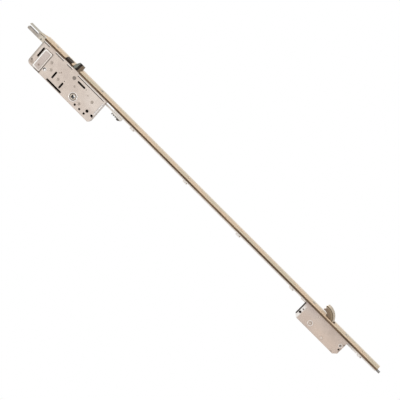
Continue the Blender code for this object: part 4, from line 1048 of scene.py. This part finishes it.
@dataclass
class GearCase:
    """The gear case: shell, cover with its pressed rims, follower and train."""

    follower: Point = (-55 * MM, 0.0)
    slots: tuple[tuple[Point, Point], ...] = (
        (mm(-46.5, 119.6), mm(-21, 119.6)),
        (mm(-69, 27), mm(-69, 71)),
        (mm(-59, 63.6), mm(-41, 63.6)),
        (mm(-64, 37), mm(-49, 37)),
        (mm(-21.5, -8), mm(-21.5, 13.7)),
    )
    holes: tuple[tuple[Point, float], ...] = (
        (mm(-55.5, -44.6), 6 * MM),
        (mm(-65, -14.4), 4 * MM),
        (mm(-65, -28.6), 4 * MM),
        (mm(-65, -42.6), 4 * MM),
    )
    slot_width: float = 3.4 * MM
    inner_eyelet: Ring = Ring(mm(-57.3, 87.5), *mm(2.9, 2.6, 0.4, 0.7))
    eyelet: Ring = Ring(mm(-56.6, 88.5), *mm(8.6, 1.0, 0.2))
    foot: tuple[Point, Point] = (mm(-49.4, -61.4), mm(-18.1, -61.4))
    foot_width: float = 2.0 * MM
    foot_depth: float = 0.55 * MM
    rim_width: float = 0.75 * MM
    rim_height: float = 0.2 * MM
    rim_gap: float = 0.02 * MM
    panel_low: Point = mm(-68.4, 96.3)
    panel_high: Point = mm(-20.7, 114.2)
    panel_side: float = 9.4 * MM
    panel_radii: tuple[float, ...] = mm(1.0, 1.0, 4.0, 1.0)
    collar_diameter: float = 19.4 * MM

    def panel_rim(self) -> Surface:
        """The rolled bead along the raised panel's edge, round at the corner by the rail."""
        (left, low), (right, high) = self.panel_low, self.panel_high
        corners = np.array([(left, low), (right, low), (right, high), (left, high)])
        inward = np.array([(1, 1), (-1, 1), (-1, -1), (1, -1)])
        starts = math.pi / 2 * np.array([2, 3, 0, 1])
        t = np.linspace(0, math.pi / 2, 7)
        quarters = [
            corner + radius * side + radius * arc(t + start)
            for corner, side, radius, start in zip(corners, inward, self.panel_radii, starts)
        ]
        return rim_on_side(np.concatenate(quarters), -self.panel_side, -1, bead(*mm(2.8, 0.5), 12))

    def rims(self) -> list[Surface]:
        """A low pressed bead round every slot and hole of the cover, dark as painted shade that widens each
        opening's shadow.
        """
        grown = self.rim_width / 2 + self.rim_gap
        loops = []
        for start, end in self.slots:
            step = np.sign(np.array(end) - np.array(start)) * grown
            loops.append(slot_loop(np.array(start) - step, np.array(end) + step, self.slot_width + 2 * grown))
        loops += [round_loop(centre, diameter + 2 * grown) for centre, diameter in self.holes]
        profile = bead(self.rim_width, self.rim_height)
        return [rim_on_side(loop, -CASE_SIDE, -1, profile) for loop in loops]

    def inner_parts(self) -> list[Surface]:
        """An eyelet behind the round hole, the shell's folded lip behind the foot, and the hole's rim."""
        lip = slot_loop(*self.foot, self.foot_width)
        return [
            self.inner_eyelet.surface(),
            rim_on_side(lip, -CASE_SIDE + self.foot_depth, -1, bead(*mm(1.9, 0.5))),
            self.eyelet.surface(),
        ]

    def collar(self) -> list[Surface]:
        """The raised bearing rim round the follower, on both sides."""
        profile = bead(*mm(2.0, 0.55), 12)
        loop = round_loop(self.follower, self.collar_diameter, 48)
        return [rim_on_side(loop, side * CASE_SIDE, side, profile) for side in (-1, 1)]

    def build(self) -> None:
        """Dress the case, its rivets and everything inside it."""
        dress(["gearbox_shell"], SHELL)
        dress(["gearbox_cover"], COVER)
        dress(numbered("case_post", 5) + ["idler_pin"], RIVET)
        dress(["follower_hub"], FOLLOWER)
        dress(["idler_gear"], GEAR)
        dress(["drive_rack"], RACK)
        dress(["fork_pin"], STEEL)
        dress(["spring_guide", *numbered("gearbox_nut", 2)], INNER_SHADE_STEEL)
        piece("cover_rims", self.rims(), SLOT_SHADE, "housing")
        piece("panel_rim", [self.panel_rim()], PANEL_RIM, "housing")
        piece("case_inner_parts", self.inner_parts(), RIM, "housing")
        piece("follower_collars", self.collar(), RIM, "housing")


@dataclass(frozen=True)
class Spring:
    """A compression spring between a seat in the case and the back of its bolt, along X."""

    name: str
    node: str
    joint: str
    seat: float
    end: float
    travel: float
    axis: Point
    turns: int
    radius: float = 2.4 * MM
    wire: float = 0.9 * MM
    gap: float = 0.3 * MM

    def build(self) -> None:
        """Make the coil in place of the CAD's rigid one."""
        turned = piece(self.name, [coil(self)], SPRING, "housing")
        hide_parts(self.node)
        length = self.end - self.gap - self.seat
        keep = (length - self.travel) / length
        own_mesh(turned)


@dataclass
class Bolts:
    """The latch and the trigger with their springs."""

    springs: tuple[Spring, ...] = (
        Spring("latch_coil", "latch_spring", "latch_slide", *mm(-31, -8, 9.5), mm(-3.2, 34), 7),
        Spring("trigger_coil", "trigger_spring", "trigger_slide", *mm(-20, -9.7, 5), mm(-3.2, 59.2), 4),
    )

    def build(self) -> None:
        """Dress the bolts and wind their springs."""
        dress(["latch_bolt"], LATCH)
        dress(["latch_insert", "trigger_bolt"], BLACK)
        dress(["latch_stop_clip"], STEEL)
        for spring in self.springs:
            spring.build()


@dataclass
class DriveLine:
    """The fork, the coupler, the rods and their guides."""

    def build(self) -> None:
        """Dress the drive."""
        dress(["drive_fork"], FORK)
        dress(["rod_coupler", "coupler_rack", "coupler_screw"], COUPLER)
        dress(["drive_rod_upper", "drive_rod_lower", "hook_rack"], ROD)
        dress(numbered("rod_guide", 5), CLIP)


@dataclass
class HookCase:
    """The lower case with its swing hook."""

    bright: tuple[Ring, ...] = (
        Ring(mm(-25.4, -685.7), *mm(4.7, 1.1, 0.25)),
        Ring(mm(-24.8, -797), *mm(7.1, 1.1, 0.25)),
        Ring(mm(-37, -717), *mm(11.6, 1.4, 0.4), count=36),
    )
    brown: tuple[Ring, ...] = (
        Ring(mm(-25.4, -685.7), *mm(2.2, 1.9, 0.3, 0.9)),
        Ring(mm(-24.8, -797), *mm(3.1, 2.6, 0.4, 0.9)),
        Ring(mm(-33.7, -800), *mm(4.6, 1.0, 0.2)),
    )

    def build(self) -> None:
        """Dress the case and the hook, and lay the pressed rims and the eyelets on the cover."""
        dress(["hook_case_shell"], HOOK_SHELL)
        dress(["hook_case_cover"], HOOK_COVER)
        dress(["hook_case_post_1"], HOLE)
        dress(["hook_case_post_2"], BOSS)
        dress(["hook_case_post_3", "hook_pin"], FLUSH)
        dress(numbered("hook_case_nut", 2), INNER_SHADE_STEEL)
        dress(["hook_bolt"], HOOK)
        rims, eyelets = ([ring.surface() for ring in rings] for rings in (self.bright, self.brown))
        piece("hook_cover_rims", rims, RIM, "housing")
        piece("hook_eyelets", eyelets, EYELET, "housing")


# Studio


@dataclass(frozen=True)
class Lamp:
    """A square soft lamp."""

    name: str
    place: Vector
    energy: float
    size: float = 3.0

    def build(self, target: Vector) -> None:
        """Set the lamp so that it looks at the target."""
        data = bpy.data.lights.new(self.name, "AREA")
        data.energy = self.energy
        data.size = self.size
        back = np.array(self.place) - np.array(target)
        back /= np.linalg.norm(back)
        right = np.cross(np.array([0.0, 0.0, 1.0]), back)
        right /= np.linalg.norm(right)
        placed(self.name, data).matrix_world = posed(right, np.cross(back, right), back, self.place)


def posed(right: np.ndarray, up: np.ndarray, back: np.ndarray, place: Any) -> Matrix:
    """The matrix of a camera or lamp with these directions at a place."""
    matrix = np.eye(4)
    for column, vector in enumerate((right, up, back, place)):
        matrix[:3, column] = vector
    return Matrix(matrix.tolist())


@dataclass(frozen=True)
class Studio:
    """Floor, world, lamps and the photograph's viewpoint."""

    target: Vector = (-0.03, 0.0, -0.354)
    azimuth: float = math.radians(20)
    elevation: float = math.radians(-6)
    distance: float = 4.0
    roll: float = math.radians(-45.0)
    lens: float = 165.5
    shift: tuple[float, float] = (0.0132, 0.0042)
    ambient: float = 0.5
    floor_height: float = -1.3
    floor_reach: float = 6.0
    floor_points: int = 9
    floor_grey: float = 0.9
    floor_glow: float = 0.85
    lamps: tuple[Lamp, ...] = (
        Lamp("key", (-4.4, -3.8, 4.2), 130),
        Lamp("fill", (5.2, -3.8, 0.4), 80),
        Lamp("back", (-2.0, 5.4, 1.8), 70),
    )

    def axes(self) -> tuple[np.ndarray, np.ndarray, np.ndarray]:
        """The camera's right, up and backward directions, rolled about its line of sight."""
        a, e, r = self.azimuth, self.elevation, self.roll
        back = np.array([math.sin(a) * math.cos(e), -math.cos(a) * math.cos(e), math.sin(e)])
        right = np.array([math.cos(a), math.sin(a), 0.0])
        up = np.cross(back, right)
        return math.cos(r) * right + math.sin(r) * up, math.cos(r) * up - math.sin(r) * right, back

    def camera(self) -> None:
        """Set the camera at the photograph's viewing angle."""
        data = bpy.data.cameras.new("camera")
        data.lens = self.lens
        data.shift_x, data.shift_y = self.shift
        camera = placed("camera", data)
        right, up, back = self.axes()
        camera.matrix_world = posed(right, up, back, np.array(self.target) + back * self.distance)
        bpy.context.scene.camera = camera

    def world(self) -> None:
        """White to the camera, in reflections and through clear things, and a soft level for the rest."""
        world = bpy.data.worlds.new("studio")
        bpy.context.scene.world = world
        world.use_nodes = True
        graph = Graph(world.node_tree)
        seen = graph.ray("Camera").most(graph.ray("Glossy")).most(graph.ray("Transmission"))
        inputs = {"Value": seen, "To Min": self.ambient, "To Max": 1.0}
        level = graph.node("ShaderNodeMapRange", {}, inputs).outputs["Result"]
        background = graph.tree.nodes["Background"]
        graph.feed(background.inputs["Color"], (1.0, 1.0, 1.0))
        graph.feed(background.inputs["Strength"], level)

    def floor(self) -> None:
        """A wide floor well under the lock, close to white to the camera, that still takes its shadow."""
        steps = np.linspace(-self.floor_reach, self.floor_reach, self.floor_points)
        x, y = np.meshgrid(steps, steps, indexing="ij")
        points = np.stack([x, y, np.full_like(x, self.floor_height)], -1).reshape(-1, 3)
        faces = quads(self.floor_points, self.floor_points, (False, False))
        shader = Shader("floor_white")
        shader.feed(shader.surface.inputs["Base Color"], (self.floor_grey,) * 3)
        shader.feed(shader.surface.inputs["Roughness"], 0.9)
        glow = shader.node("ShaderNodeEmission", {}, {"Color": (1.0, 1.0, 1.0), "Strength": 1.0})
        inputs = {0: shader.ray("Camera") * self.floor_glow, 1: shader.surface.outputs[0], 2: glow.outputs[0]}
        blend = shader.node("ShaderNodeMixShader", {}, inputs)
        output = next(n for n in shader.tree.nodes if n.type == "OUTPUT_MATERIAL")
        shader.feed(output.inputs["Surface"], blend.outputs[0])
        floor = placed("floor", meshed("floor", points, faces, shader.material))

    def build(self) -> None:
        """Set the whole studio."""
        bpy.context.scene.view_settings.view_transform = "Standard"
        self.camera()
        self.world()
        self.floor()
        for lamp in self.lamps:
            lamp.build(self.target)


def main() -> None:
    """Set the studio and build each sub-assembly."""
    logging.basicConfig(level=logging.INFO, format="%(name)s: %(message)s")
    Studio().build()
    for assembly in (RailAssembly(), GearCase(), Bolts(), DriveLine(), HookCase()):
        assembly.build()
        LOG.info("built %s", type(assembly).__name__)
    bpy.context.view_layer.update()


if __name__ == "__main__":
    main()
